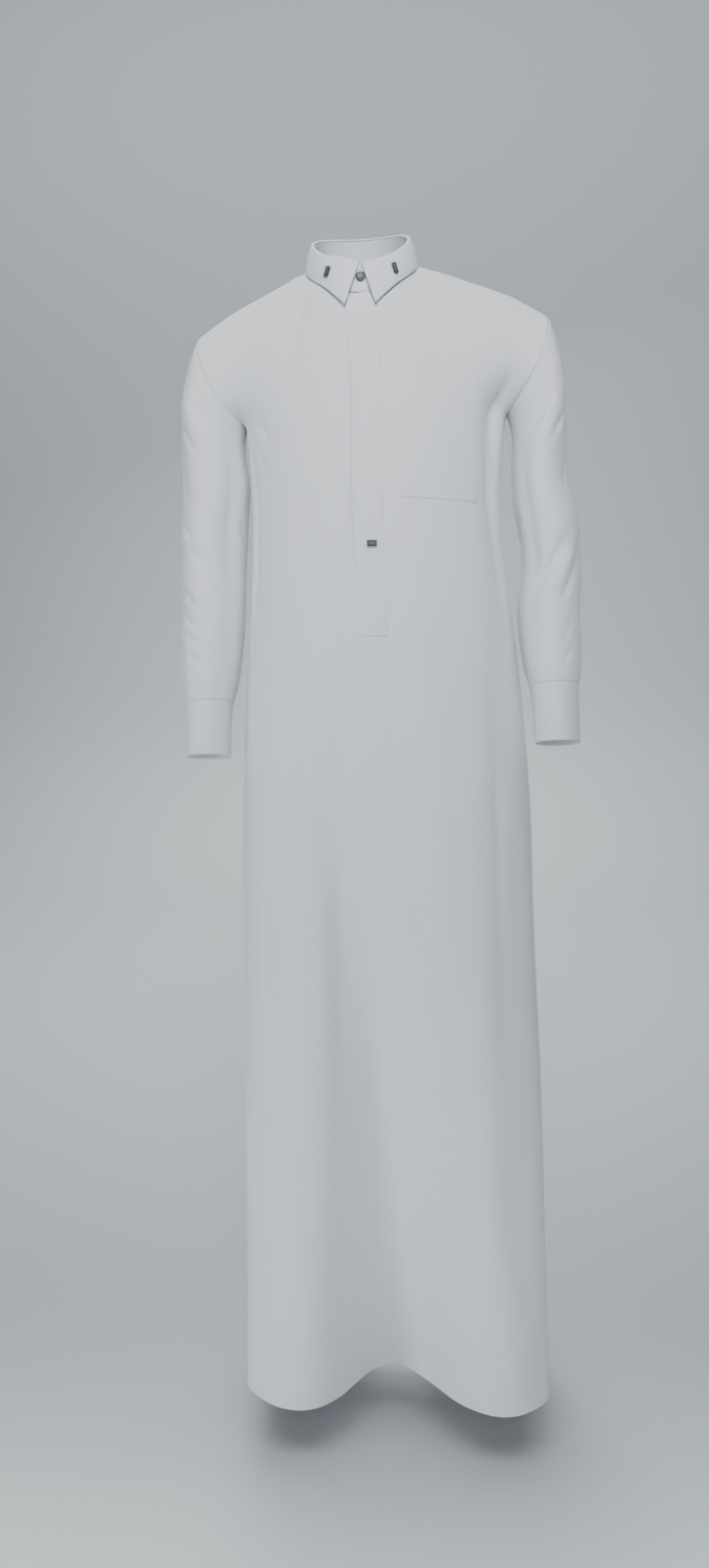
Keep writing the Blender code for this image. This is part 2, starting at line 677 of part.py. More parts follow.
def lies_between(sheet, face, sides, foot_row, top_row):
    """True for a face of the front between two lines and two rows of its grid."""
    line = sheet.verts.layers.int["line"]
    row = sheet.verts.layers.int["row"]
    first, last = (FRONT_LINES.index(side) + 1 for side in sides)
    return all(
        first <= vertex[line] <= last and foot_row <= vertex[row] <= top_row
        for vertex in face.verts
    )


def row_at(drop):
    """Row of the front's grid that lies at one of the chest's drops."""
    return SKIRT_ROWS + CHEST_DROPS.index(drop)


def outside_the_slit(sheet, face):
    """True for the front's cloth on either side of its neck opening and below it."""
    return not lies_between(sheet, face, SLIT_SIDES, row_at(SLIT_FOOT_DROP), TOP_ROW)


for number, (name, rows, thickness, material) in enumerate(PANELS):
    sheet = cut_panel(number, outside_the_slit if name == "front" else None)
    draw_in_rim(sheet, SEAM_GAP / 2)
    thicken(sheet, sheet.verts.layers.float_vector["outward"], thickness)
    finish(name, sheet, material)


# ---------------------------------------------------------------- placket and pocket

def front_patch(name, sides, foot_row, top_row, outer_face, thickness):
    """A piece that follows the front's own points, moved out (or in) from them."""
    def in_patch(sheet, face):
        return lies_between(sheet, face, sides, foot_row, top_row)

    sheet = cut_panel(0, in_patch)
    layer = sheet.verts.layers.float_vector["outward"]
    for vertex in sheet.verts:
        vertex.co += vertex[layer] * outer_face
    draw_in_rim(sheet, SEAM_GAP / 2)
    thicken(sheet, layer, thickness)
    return finish(name, sheet, white_cloth)


front_patch("placket", (-PLACKET_HALF_WIDTH, PLACKET_HALF_WIDTH),
            row_at(PLACKET_FOOT_DROP), TOP_ROW, SEAM_GAP + PLACKET_CLOTH, PLACKET_CLOTH)
front_patch("placket_underlap", UNDERLAP_SIDES,
            row_at(UNDERLAP_FOOT_DROP), TOP_ROW, -CLOTH - SEAM_GAP, CLOTH)
front_patch("chest_pocket", POCKET_SIDES,
            row_at(POCKET_FOOT_DROP), row_at(POCKET_TOP_DROP), SEAM_GAP + CLOTH, CLOTH)


# ---------------------------------------------------------------- collar

def stand_point(bearing, share, inset=0.0):
    """Point of the collar stand's outer face, from its foot at 0 to its top at 1."""
    height = STAND_HEIGHT - STAND_SIDE_DIP * math.sin(math.radians(bearing)) ** 2
    from_front = (180 - bearing) % 360 - 180
    place = (from_front - RIGHT_RISE_SPAN[0]) / (RIGHT_RISE_SPAN[1] - RIGHT_RISE_SPAN[0])
    height += STAND_RIGHT_RISE * math.sin(math.pi * min(max(place, 0), 1)) ** 2
    return neck_point(bearing, height * share, STAND_LEAN * share + inset)


def fold_bearings():
    """Bearings of the fall's columns along its fold, from the front to the back."""
    spacing = np.linspace(0, 1, FALL_COLUMNS + 1) ** 1.15
    return [FALL_FRONT_GAP + (180 - FALL_FRONT_GAP) * share for share in spacing]


def collar_stand():
    """A band round the neck whose upper end laps over its under end at the front."""
    upper_end = neck_bearing_at(-STAND_LAP[0])
    under_end = 360 + neck_bearing_at(STAND_LAP[1])
    lap_start = 360 + upper_end
    folds = fold_bearings()
    bearings = [upper_end] + [-fold for fold in reversed(folds) if -fold > upper_end] + [0]
    bearings += folds + [360 - bearing for bearing in reversed(folds[:-1])]
    bearings += [360, under_end]
    rows = []
    for row in range(STAND_ROWS + 1):
        points = []
        for bearing in bearings:
            inset = (COLLAR_CLOTH + 2 * SEAM_GAP) * ease(bearing, lap_start - 24, lap_start - 4)
            point = stand_point(bearing, row / STAND_ROWS, inset)
            points.append(point + Vector((0, 0, STAND_FOOT_GAP)))
        rows.append(points)
    band = bmesh.new()
    lay_grid(band, rows)
    thicken_outside(band, COLLAR_CLOTH)
    return finish("collar_stand", band, collar_cloth)


def robe_outside(bearing, height, lift):
    """Point a little off the robe's outside at a bearing round the neck and a height."""
    angle = math.radians(bearing)
    away = Vector((math.sin(angle), -math.cos(angle), 0))
    centre_x = NECK_X + NECK_TURN * math.cos(angle)
    centre = Vector((centre_x, (NECK_FRONT_Y + NECK_BACK_Y) / 2, height))
    found = [(stand_point(bearing, 0), away)]
    for name in ("front", "back", "placket"):
        hit, normal = surfaces[name].ray_cast(centre + away * 0.4, -away)[:2]
        if hit:
            found.append((hit, normal))
    place, normal = max(found, key=lambda pair: (pair[0] - centre).dot(away))
    return place + normal * lift


def fall_column(bearing, side):
    """One column of the fall, from the stand's top over the fold to its outer edge."""
    share = (bearing - FALL_FRONT_GAP) / (180 - FALL_FRONT_GAP)
    edge_bearing = FALL_TIP_BEARING + (180 - FALL_TIP_BEARING) * share
    top = stand_point(side * bearing, 1) + Vector((0, 0, STAND_FOOT_GAP + SEAM_GAP))
    angle = math.radians(side * bearing)
    away = Vector((math.sin(angle), -math.cos(angle), 0))
    up = Vector((0, 0, 1))
    column = [
        top - away * COLLAR_CLOTH + up * SEAM_GAP,
        top - away * COLLAR_CLOTH * 0.8 + up * COLLAR_CLOTH,
        top + away * COLLAR_CLOTH * 0.3 + up * COLLAR_CLOTH * 1.6,
        top + away * COLLAR_CLOTH * 1.6 + up * COLLAR_CLOTH * 0.9,
    ]
    height = column_at(FALL_EDGE, "height", edge_bearing)
    lift = FALL_LIFT[0] + (FALL_LIFT[1] - FALL_LIFT[0]) * ease(share, 0.02, 0.15)
    edge = robe_outside(side * edge_bearing, height, lift)
    fold = column[-1]
    for row in range(1, FALL_ROWS + 1):
        down = row / FALL_ROWS
        bow = FALL_BOW * math.sin(math.pi * down)
        column.append(fold.lerp(edge, down) + away * bow)
    return column


def thicken_outside(sheet, thickness):
    """Wall of a sheet whose stored directions come from its own outer face."""
    layer = sheet.verts.layers.float_vector.new("outward")
    sheet.normal_update()
    lowest = min(sheet.faces, key=lambda face: face.calc_center_median().z)
    centre = lowest.calc_center_median()
    if lowest.normal.x * centre.x + lowest.normal.y * centre.y < 0:
        bmesh.ops.reverse_faces(sheet, faces=sheet.faces)
        sheet.normal_update()
    for vertex in sheet.verts:
        vertex[layer] = vertex.normal
    thicken(sheet, layer, thickness)


def collar_fall():
    """The turned-down collar, one wall from tip to tip round the neck."""
    bearings = fold_bearings()
    columns = [fall_column(bearing, -1) for bearing in bearings]
    columns += [fall_column(bearing, 1) for bearing in reversed(bearings[:-1])]
    rows = [list(row) for row in zip(*columns)]
    fall = bmesh.new()
    lay_grid(fall, rows)
    thicken_outside(fall, COLLAR_CLOTH)
    return finish("collar_fall", fall, collar_cloth)


collar_stand()
collar_fall()


# ---------------------------------------------------------------- button and studs

def seat_on(piece, x, drop, tilt=0.0):
    """Frame of a small piece that lies on another's face, seen from the front."""
    start = Vector((x, -0.5, -drop))
    place, normal = surfaces[piece].ray_cast(start, Vector((0, 1, 0)))[:2]
    lean = math.radians(tilt)
    upright = Vector((-math.sin(lean), 0, math.cos(lean)))
    across = upright.cross(normal).normalized()
    upright = normal.cross(across)
    frame = Matrix((across, upright, normal)).transposed().to_4x4()
    frame.translation = place + normal * SEAM_GAP * 1.3
    return frame


def neck_button():
    """A round button with a raised rim and four thread holes."""
    disc = bmesh.new()
    radius = BUTTON_DIAMETER / 2
    bmesh.ops.create_cone(disc, cap_ends=True, segments=28, radius1=radius,
                          radius2=radius, depth=BUTTON_HEIGHT)
    bmesh.ops.translate(disc, verts=disc.verts, vec=(0, 0, BUTTON_HEIGHT / 2))
    rims = [edge for edge in disc.edges if edge.is_manifold and edge.calc_face_angle() > 1]
    bmesh.ops.bevel(disc, geom=rims, offset=0.0005, segments=2, profile=0.5,
                    affect="EDGES", material=-1)
    top = max(disc.faces, key=lambda face: face.calc_center_median().z)
    bmesh.ops.inset_region(disc, faces=[top], thickness=0.0010)
    bmesh.ops.inset_region(disc, faces=[top], thickness=0.0006, depth=-0.0006)
    bmesh.ops.transform(disc, matrix=seat_on("collar_stand", FRONT_X, BUTTON_DROP),
                        verts=disc.verts)
    button = finish("neck_button", disc, dark_enamel)
    holes = bmesh.new()
    for x in (-0.0011, 0.0011):
        for y in (-0.0011, 0.0011):
            bmesh.ops.create_cone(holes, cap_ends=True, segments=8, radius1=0.0006,
                                  radius2=0.0006, depth=0.02,
                                  matrix=Matrix.Translation((x, y, 0)))
    bmesh.ops.transform(holes, matrix=seat_on("collar_stand", FRONT_X, BUTTON_DROP),
                        verts=holes.verts)
    cutter = finish("button_holes", holes, dark_enamel)
    cutter.hide_render = True
    cutter.display_type = "WIRE"
    cut = button.modifiers.new("thread_holes", "BOOLEAN")
    cut.object = cutter
    cut.operation = "DIFFERENCE"


def stud(name, size, carrier, x, drop, tilt=0.0):
    """A rectangular stud: a bevelled frame round a sunk middle band."""
    block = bmesh.new()
    bmesh.ops.create_cube(block, size=1)
    bmesh.ops.translate(block, verts=block.verts, vec=(0, 0, 0.5))
    bmesh.ops.scale(block, verts=block.verts, vec=(*size, STUD_HEIGHT))
    edges = [edge for edge in block.edges if edge.calc_face_angle() > 1
             and max(vertex.co.z for vertex in edge.verts) > 0]
    bmesh.ops.bevel(block, geom=edges, offset=0.0006, segments=2, profile=0.5,
                    affect="EDGES", material=-1)
    top = max(block.faces, key=lambda face: face.calc_center_median().z)
    bmesh.ops.inset_region(block, faces=[top], thickness=0.0008)
    bmesh.ops.inset_region(block, faces=[top], thickness=0.0003, depth=-0.0004)
    bmesh.ops.transform(block, matrix=seat_on(carrier, x, drop, tilt), verts=block.verts)
    finish(name, block, dark_enamel)


neck_button()
stud("placket_stud", PLACKET_STUD_SIZE, "placket", PLACKET_STUD_X, PLACKET_STUD_DROP)
for side, name in ((1, "collar_stud_left"), (-1, "collar_stud_right")):
    stud(name, COLLAR_STUD_SIZE, "collar_fall", FRONT_X + side * COLLAR_STUD_X,
         COLLAR_STUD_DROP, side * COLLAR_STUD_TILT)
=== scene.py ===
import math

import bmesh
import bpy
import numpy as np
from mathutils import Matrix, Vector, noise
from mathutils.bvhtree import BVHTree


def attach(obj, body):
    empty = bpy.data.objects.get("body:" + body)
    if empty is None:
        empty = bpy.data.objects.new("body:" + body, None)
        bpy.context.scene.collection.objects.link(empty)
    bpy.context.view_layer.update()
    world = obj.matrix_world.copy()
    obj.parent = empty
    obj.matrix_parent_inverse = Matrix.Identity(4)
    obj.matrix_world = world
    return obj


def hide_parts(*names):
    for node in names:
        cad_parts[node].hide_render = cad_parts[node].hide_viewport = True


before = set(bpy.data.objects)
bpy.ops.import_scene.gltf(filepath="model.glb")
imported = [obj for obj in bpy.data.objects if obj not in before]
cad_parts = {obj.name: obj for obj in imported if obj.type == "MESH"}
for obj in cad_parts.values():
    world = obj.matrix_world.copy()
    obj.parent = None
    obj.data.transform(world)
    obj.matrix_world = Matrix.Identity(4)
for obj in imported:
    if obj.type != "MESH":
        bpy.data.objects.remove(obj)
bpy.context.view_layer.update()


# ---------------------------------------------------------------- body, sleeves and cuffs: the sewn shell
# The robe is two full-length panels of fine white cotton, two straight sleeves set into the armholes, and a
# firm cuff on each. They are shaped here as the one shell that they are when sewn, so a crease runs on over a
# seam, and are parted again along the seams afterwards.

SHELL_PARTS = {"front": (0, -1, 0), "back": (0, 1, 0), "sleeve_left": (0, -1, 0),
               "sleeve_right": (0, -1, 0), "cuff_left": (0, -1, 0), "cuff_right": (0, -1, 0)}
SEAM_REACH = 0.0030       # farthest that the solids' edges lie apart along a seam
SLIVER = 0.0015           # a shorter edge at a seam's corner is closed up
RIM_WIDTH = 0.00175       # the solids' rims are narrower than this, and their other faces wider
SHELL_BEND = 60           # a solid's outer side ends where it turns by more than this, in degrees
SEAM_SINK = 0.00012       # how far the stitching draws the cloth in along a seam
FLAT_SEAM = 25            # a seam that turns by less, in degrees, lies flat
SHARP_SEAM = 60           # a seam that turns by more is a corner
FOLD_END = 0.08           # share of a fold's depth that is left at its ends
TROUGH_FALL = 1.9         # how steeply a fold's sides run out
LIP_HEIGHT = 0.38         # lip below a level trough, as a share of the trough's depth
LIP_PLACE = 1.45          # its distance from the trough's middle, in half widths
LIP_FALL = 2.2            # how steeply it runs out
UNEVENNESS = ((0.0012, (0.055, 0.160)), (0.0006, (0.024, 0.040)))   # height, size across and along


def outer_side(node, toward, bend=40, narrowest=0.0):
    """The outer side of a solid's cloth, laid out in quads again. It ends where the solid turns by more than
    the bend, in degrees, and at faces narrower than the narrowest, which belong to the rim."""
    cloth = bmesh.new()
    cloth.from_mesh(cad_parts[node].data)
    bmesh.ops.remove_doubles(cloth, verts=cloth.verts, dist=0.00002)
    cloth.normal_update()
    way = Vector(toward)
    outward = [face for face in cloth.faces if face.normal.dot(way) > 0.6]
    first = max(outward, key=lambda face: face.calc_center_median().dot(way))
    rim = {face for face in cloth.faces
           if 2 * face.calc_area() / max(edge.calc_length() for edge in face.edges) < narrowest}
    kept, edge_of_cloth = {first}, [first]
    while edge_of_cloth:
        face = edge_of_cloth.pop()
        for edge in face.edges:
            for near in edge.link_faces:
                turn = near.normal.dot(face.normal)
                if near not in kept and near not in rim and turn > math.cos(math.radians(bend)):
                    kept.add(near)
                    edge_of_cloth.append(near)
    bmesh.ops.delete(cloth, geom=[face for face in cloth.faces if face not in kept], context="FACES")
    bmesh.ops.join_triangles(cloth, faces=cloth.faces, angle_face_threshold=math.radians(40),
                             angle_shape_threshold=math.radians(55))
    return cloth


def sewn_shell(parts):
    """The outer sides of the parts in one sheet, joined where their edges lie side by side."""
    shell = bmesh.new()
    for number, (part, toward) in enumerate(parts.items()):
        side = outer_side(part, toward, SHELL_BEND, RIM_WIDTH)
        for face in side.faces:
            face.material_index = number
        loose = bpy.data.meshes.new("loose side")
        side.to_mesh(loose)
        side.free()
        shell.from_mesh(loose)
        bpy.data.meshes.remove(loose)
    rims = [vertex for vertex in shell.verts if vertex.is_boundary]
    pairs = bmesh.ops.find_doubles(shell, verts=rims, dist=SEAM_REACH)["targetmap"]
    part_of = {vertex: {face.material_index for face in vertex.link_faces} for vertex in rims}
    pairs = {vertex: target for vertex, target in pairs.items()
             if not part_of[vertex] & part_of[target] or (vertex.co - target.co).length < SLIVER}
    meeting = {}
    for vertex, target in pairs.items():
        meeting.setdefault(target, [target]).append(vertex)
    for target, group in meeting.items():
        target.co = sum((vertex.co for vertex in group), Vector()) / len(group)
    bmesh.ops.weld_verts(shell, targetmap=pairs)
    crease = shell.edges.layers.float.new("crease_edge")
    for edge in shell.edges:
        if len({face.material_index for face in edge.link_faces}) > 1:
            turn = math.degrees(edge.calc_face_angle())
            edge[crease] = min(max((turn - FLAT_SEAM) / (SHARP_SEAM - FLAT_SEAM), 0), 1)
    return shell


def placed(name, data):
    """A new object in the scene, left at the origin."""
    item = bpy.data.objects.new(name, data)
    bpy.context.scene.collection.objects.link(item)
    return item


def softened(cloth, rounds):
    """The same cloth in small faces, with its facets rounded off."""
    coarse = bpy.data.meshes.new("coarse cloth")
    cloth.to_mesh(coarse)
    cloth.free()
    carrier = placed("coarse cloth", coarse)
    rounding = carrier.modifiers.new("rounding", "SUBSURF")
    rounding.levels = rounding.render_levels = rounds
    rounding.boundary_smooth = "PRESERVE_CORNERS"
    fine = bpy.data.meshes.new_from_object(carrier.evaluated_get(bpy.context.evaluated_depsgraph_get()))
    bpy.data.objects.remove(carrier)
    return fine


def mesh_points(mesh):
    points = np.empty(len(mesh.vertices) * 3)
    mesh.vertices.foreach_get("co", points)
    return points.reshape(-1, 3)


def mesh_normals(mesh):
    normals = np.empty(len(mesh.vertices) * 3, np.float32)
    mesh.vertex_normals.foreach_get("vector", normals)
    return normals.reshape(-1, 3).astype(float)


def move_points(mesh, points):
    mesh.vertices.foreach_set("co", points.ravel())
    mesh.update()


def skin_of(mesh):
    copy = bmesh.new()
    copy.from_mesh(mesh)
    skin = BVHTree.FromBMesh(copy)
    copy.free()
    return skin


def smooth_run(places, step=0.003):
    """A smooth line through a few places, as a row of close points."""
    places = [Vector(place) for place in places]
    places = [2 * places[0] - places[1], *places, 2 * places[-1] - places[-2]]
    run = []
    for before, start, end, after in zip(places, places[1:], places[2:], places[3:]):
        count = max(2, int((end - start).length / step))
        for number in range(count):
            t = number / count
            bow = 2 * before - 5 * start + 4 * end - after
            run.append(0.5 * (2 * start + (end - before) * t + bow * t * t
                              + (3 * start - before - 3 * end + after) * t ** 3))
    return run + [places[-2]]


def press_folds(mesh, folds, skin):
    """Press each fold of a list into the cloth that hangs at the skin. A fold is its half width and its depth
    in millimetres, the share of its length where it is deepest, and the places it runs through, as x, y and
    the drop below the origin. A depth below zero raises a ridge. The more level a trough runs, the more the
    cloth sags over its lower side in a soft lip."""
    points, normals = mesh_points(mesh), mesh_normals(mesh)
    move = np.zeros(len(points))
    for number, (half_width, depth, deepest, *places) in enumerate(folds):
        half_width, depth = half_width / 1000, depth / 1000
        run = [skin.find_nearest(point) for point in smooth_run([(x, y, -drop) for x, y, drop in places])]
        line, facing = np.array([hit[0] for hit in run]), np.array([hit[1] for hit in run])
        across = np.cross(facing, np.gradient(line, axis=0))
        across /= np.linalg.norm(across, axis=1, keepdims=True) + 1e-9
        across *= np.where(across[:, 2:] > 0, -1, 1)
        lip = LIP_HEIGHT * np.clip(-1.6 * across[:, 2], 0, 1)
        low, high = line.min(0) - 3 * half_width, line.max(0) + 3 * half_width
        near = np.where(((points > low) & (points < high)).all(1))[0]
        for part in np.array_split(near, len(near) // 4000 + 1):
            apart = points[part][:, None, :] - line[None]
            distance = np.sqrt((apart ** 2).sum(2))
            closest = distance.argmin(1)
            share = closest / (len(line) - 1)
            side = (apart[np.arange(len(part)), closest] * across[closest]).sum(1)
            reach = distance[np.arange(len(part)), closest]
            end = np.sqrt(np.maximum(reach ** 2 - side ** 2, 0))
            beyond = np.exp(-(end / half_width) ** 2)
            beyond *= np.clip((normals[part] * facing[closest]).sum(1) / 0.4, 0, 1)
            taper = np.minimum(share / max(deepest, 0.02), (1 - share) / max(1 - deepest, 0.02))
            taper = np.clip(taper, 0, 1)
            taper = taper * taper * (3 - 2 * taper) * (1 - FOLD_END) + FOLD_END * beyond
            uneven = 1 + 0.22 * np.sin(share * 9.0 + number * 2.3) + 0.10 * np.sin(share * 23.0 + number)
            off = side / half_width
            bend = np.exp(-TROUGH_FALL * off * off)
            bend = bend - lip[closest] * np.exp(-LIP_FALL * (off - LIP_PLACE) ** 2)
            move[part] += depth * taper * uneven * beyond * bend
    move_points(mesh, points - normals * move[:, None])


def ease_surface(mesh, height, size, seed):
    """Add the low, broad unevenness of cloth that hangs freely."""
    points, normals = mesh_points(mesh), mesh_normals(mesh)
    shift = Vector((seed * 3.1, seed * 1.7, seed * 2.3))
    lift = np.array([noise.noise(Vector((x / size[0], y / size[0], z / size[1])) + shift)
                     for x, y, z in points])
    move_points(mesh, points + normals * (lift * height)[:, None])


def draw_in_seams(mesh, depth):
    """Draw the cloth in along the lines where two parts meet."""
    cloth = bmesh.new()
    cloth.from_mesh(mesh)
    for vertex in cloth.verts:
        if len({face.material_index for face in vertex.link_faces}) > 1:
            vertex.co -= vertex.normal * depth
    cloth.to_mesh(mesh)
    cloth.free()


# half width, depth, deepest share, then places (x, y, drop); left and right are the wearer's
FRONT_FOLDS = [
    # the hollow to the right of the placket, the valley between the legs, and the valley's steeper wall
    (15, 4.2, 0.45, (-0.026, -0.112, 0.175), (-0.030, -0.117, 0.250), (-0.034, -0.120, 0.410),
     (-0.042, -0.119, 0.510),
     (-0.044, -0.118, 0.600), (-0.040, -0.115, 0.740)),
    (46, 13.0, 0.42, (-0.040, -0.118, 0.500), (-0.036, -0.114, 0.740), (-0.018, -0.090, 0.985),
     (-0.010, -0.055, 1.250),
     (-0.010, -0.030, 1.480)),
    (24, 5.5, 0.45, (-0.058, -0.117, 0.540), (-0.056, -0.115, 0.740), (-0.058, -0.104, 0.985),
     (-0.064, -0.092, 1.250),
     (-0.068, -0.080, 1.420)),
    # the ridges on both sides of it, over the thighs
    (26, -4.0, 0.50, (0.050, -0.118, 0.340), (0.060, -0.119, 0.505), (0.070, -0.118, 0.640),
     (0.073, -0.116, 0.800),
     (0.076, -0.110, 1.000)),
    (20, -3.0, 0.45, (-0.082, -0.108, 0.330), (-0.086, -0.113, 0.505), (-0.094, -0.114, 0.750),
     (-0.102, -0.116, 1.000)),
    # the pulls from the right armhole towards the chest, and the hollow under it
    (9, 1.8, 0.35, (-0.150, -0.058, 0.175), (-0.128, -0.078, 0.205), (-0.108, -0.092, 0.248)),
    (8, 1.4, 0.30, (-0.152, -0.050, 0.200), (-0.132, -0.075, 0.240), (-0.118, -0.086, 0.290)),
    (17, 7.5, 0.35, (-0.158, -0.046, 0.180), (-0.158, -0.046, 0.260), (-0.160, -0.046, 0.360),
     (-0.162, -0.058, 0.500)),
    # the deep fold in front of the left armhole, and the soft hollow round it
    (26, 13.0, 0.45, (0.176, -0.066, 0.090), (0.164, -0.060, 0.140), (0.157, -0.056, 0.200),
     (0.154, -0.048, 0.270),
     (0.154, -0.048, 0.360), (0.156, -0.056, 0.460)),
    (9, 6.0, 0.50, (0.174, -0.062, 0.118), (0.166, -0.054, 0.160), (0.160, -0.040, 0.200),
     (0.158, -0.034, 0.255)),
    # long slack folds down both sides, the widest on the left
    (12, 1.8, 0.45, (0.140, -0.085, 0.440), (0.1443, -0.0844, 0.514), (0.1464, -0.100, 0.760),
     (0.1500, -0.105, 1.000)),
    (40, 8.5, 0.50, (0.150, -0.080, 0.520), (0.156, -0.092, 0.760), (0.158, -0.100, 0.985),
     (0.162, -0.106, 1.225),
     (0.166, -0.114, 1.500)),
    (14, 2.0, 0.50, (-0.146, -0.080, 0.560), (-0.152, -0.095, 0.860), (-0.160, -0.105, 1.200)),
    (12, 1.6, 0.55, (-0.128, -0.098, 0.800), (-0.134, -0.108, 1.050), (-0.142, -0.116, 1.420)),
    # shallow ones down the front of the legs
    (16, 1.5, 0.40, (-0.116, -0.100, 0.330), (-0.118, -0.110, 0.600), (-0.122, -0.116, 0.900)),
    (12, 1.3, 0.55, (0.030, -0.090, 1.100), (0.036, -0.080, 1.260), (0.040, -0.070, 1.420)),
    # small ones under the collar and at the shoulders
    (7, 0.9, 0.30, (-0.074, -0.060, 0.040), (-0.086, -0.080, 0.075), (-0.100, -0.086, 0.125)),
    (7, 0.8, 0.35, (0.060, -0.065, 0.045), (0.080, -0.082, 0.080), (0.100, -0.085, 0.120)),
    # the line where the left armhole's allowance lies under the cloth
    (5, -1.3, 0.45, (0.2155, -0.030, 0.073), (0.2140, -0.052, 0.094), (0.2040, -0.060, 0.1235),
     (0.186, -0.054, 0.151),
     (0.172, -0.036, 0.170)),
]
BACK_FOLDS = [
    (22, 2.6, 0.45, (-0.030, 0.112, 0.160), (-0.036, 0.120, 0.320), (-0.044, 0.120, 0.560),
     (-0.050, 0.124, 0.800)),
    (20, 2.2, 0.50, (0.036, 0.112, 0.180), (0.040, 0.120, 0.360), (0.046, 0.121, 0.600),
     (0.054, 0.124, 0.820)),
    (10, 1.8, 0.35, (0.158, 0.050, 0.150), (0.138, 0.080, 0.185), (0.110, 0.100, 0.240)),
    (9, 1.4, 0.35, (0.156, 0.048, 0.185), (0.140, 0.080, 0.240), (0.120, 0.100, 0.320)),
    (10, 1.8, 0.35, (-0.160, 0.050, 0.150), (-0.138, 0.080, 0.190), (-0.108, 0.100, 0.250)),
    (8, 1.3, 0.35, (-0.158, 0.045, 0.190), (-0.142, 0.078, 0.245), (-0.126, 0.095, 0.330)),
    (13, 2.0, 0.50, (0.140, 0.085, 0.420), (0.148, 0.090, 0.700), (0.154, 0.100, 1.000)),
    (12, 2.2, 0.60, (0.160, 0.080, 0.700), (0.166, 0.095, 1.020), (0.172, 0.110, 1.450)),
    (13, 2.0, 0.50, (-0.144, 0.085, 0.440), (-0.150, 0.092, 0.740), (-0.158, 0.104, 1.060)),
    (12, 2.0, 0.60, (-0.166, 0.070, 0.620), (-0.172, 0.090, 0.960), (-0.180, 0.108, 1.380)),
    (15, 1.6, 0.50, (-0.092, 0.112, 0.360), (-0.098, 0.120, 0.720), (-0.104, 0.126, 1.120)),
    (15, 1.5, 0.55, (0.088, 0.114, 0.420), (0.094, 0.121, 0.800), (0.104, 0.126, 1.240)),
    (7, 0.9, 0.40, (-0.050, 0.066, 0.020), (-0.070, 0.082, 0.060), (-0.096, 0.092, 0.110)),
    (7, 0.9, 0.40, (0.044, 0.066, 0.020), (0.064, 0.082, 0.060), (0.092, 0.092, 0.120)),
]
LEFT_SLEEVE_FOLDS = [
    (17, 6.0, 0.45, (0.188, -0.048, 0.190), (0.185, -0.046, 0.255), (0.188, -0.052, 0.349),
     (0.187, -0.058, 0.420),
     (0.192, -0.066, 0.490)),
    (7, 2.9, 0.35, (0.2250, -0.054, 0.156), (0.2110, -0.060, 0.176), (0.1960, -0.058, 0.200),
     (0.186, -0.050, 0.222)),
    (7, 2.4, 0.40, (0.2360, -0.040, 0.180), (0.2230, -0.056, 0.206), (0.2050, -0.062, 0.232)),
    (9, 2.2, 0.50, (0.2420, -0.020, 0.205), (0.2400, -0.036, 0.250), (0.2330, -0.052, 0.292)),
    (13, 6.0, 0.55, (0.2480, -0.034, 0.300), (0.2400, -0.055, 0.328), (0.2184, -0.066, 0.365),
     (0.2000, -0.058, 0.392),
     (0.1829, -0.1, 0.420)),
    (14, -4.0, 0.50, (0.2460, -0.048, 0.338), (0.2360, -0.062, 0.362), (0.2240, -0.068, 0.384)),
    (7, 2.6, 0.40, (0.2470, -0.045, 0.372), (0.2360, -0.064, 0.398), (0.2190, -0.072, 0.425)),
    (7, 2.4, 0.45, (0.1860, -0.056, 0.472), (0.1960, -0.066, 0.457), (0.2090, -0.072, 0.443)),
    (6, 1.9, 0.50, (0.2440, -0.055, 0.430), (0.2330, -0.070, 0.452), (0.2200, -0.076, 0.474)),
    (6, 1.8, 0.50, (0.2430, -0.060, 0.462), (0.2330, -0.074, 0.480), (0.2210, -0.078, 0.498)),
    # behind the arm
    (9, 3.5, 0.45, (0.2440, 0.020, 0.190), (0.2250, 0.044, 0.215), (0.2020, 0.052, 0.240),
     (0.186, 0.044, 0.262)),
    (9, 3.8, 0.50, (0.2480, 0.020, 0.300), (0.2300, 0.036, 0.330), (0.2050, 0.038, 0.352),
     (0.188, 0.026, 0.372)),
    (8, 2.9, 0.45, (0.2460, 0.000, 0.360), (0.2300, 0.022, 0.385), (0.2060, 0.026, 0.408)),
    (7, 2.2, 0.50, (0.2440, -0.010, 0.420), (0.2280, 0.008, 0.442), (0.2080, 0.010, 0.462)),
    (7, 2.1, 0.50, (0.2420, -0.020, 0.462), (0.2270, -0.003, 0.480), (0.2080, 0.000, 0.496)),
    (8, 2.9, 0.40, (0.1860, -0.030, 0.300), (0.1830, -0.010, 0.330), (0.1880, 0.014, 0.356)),
]
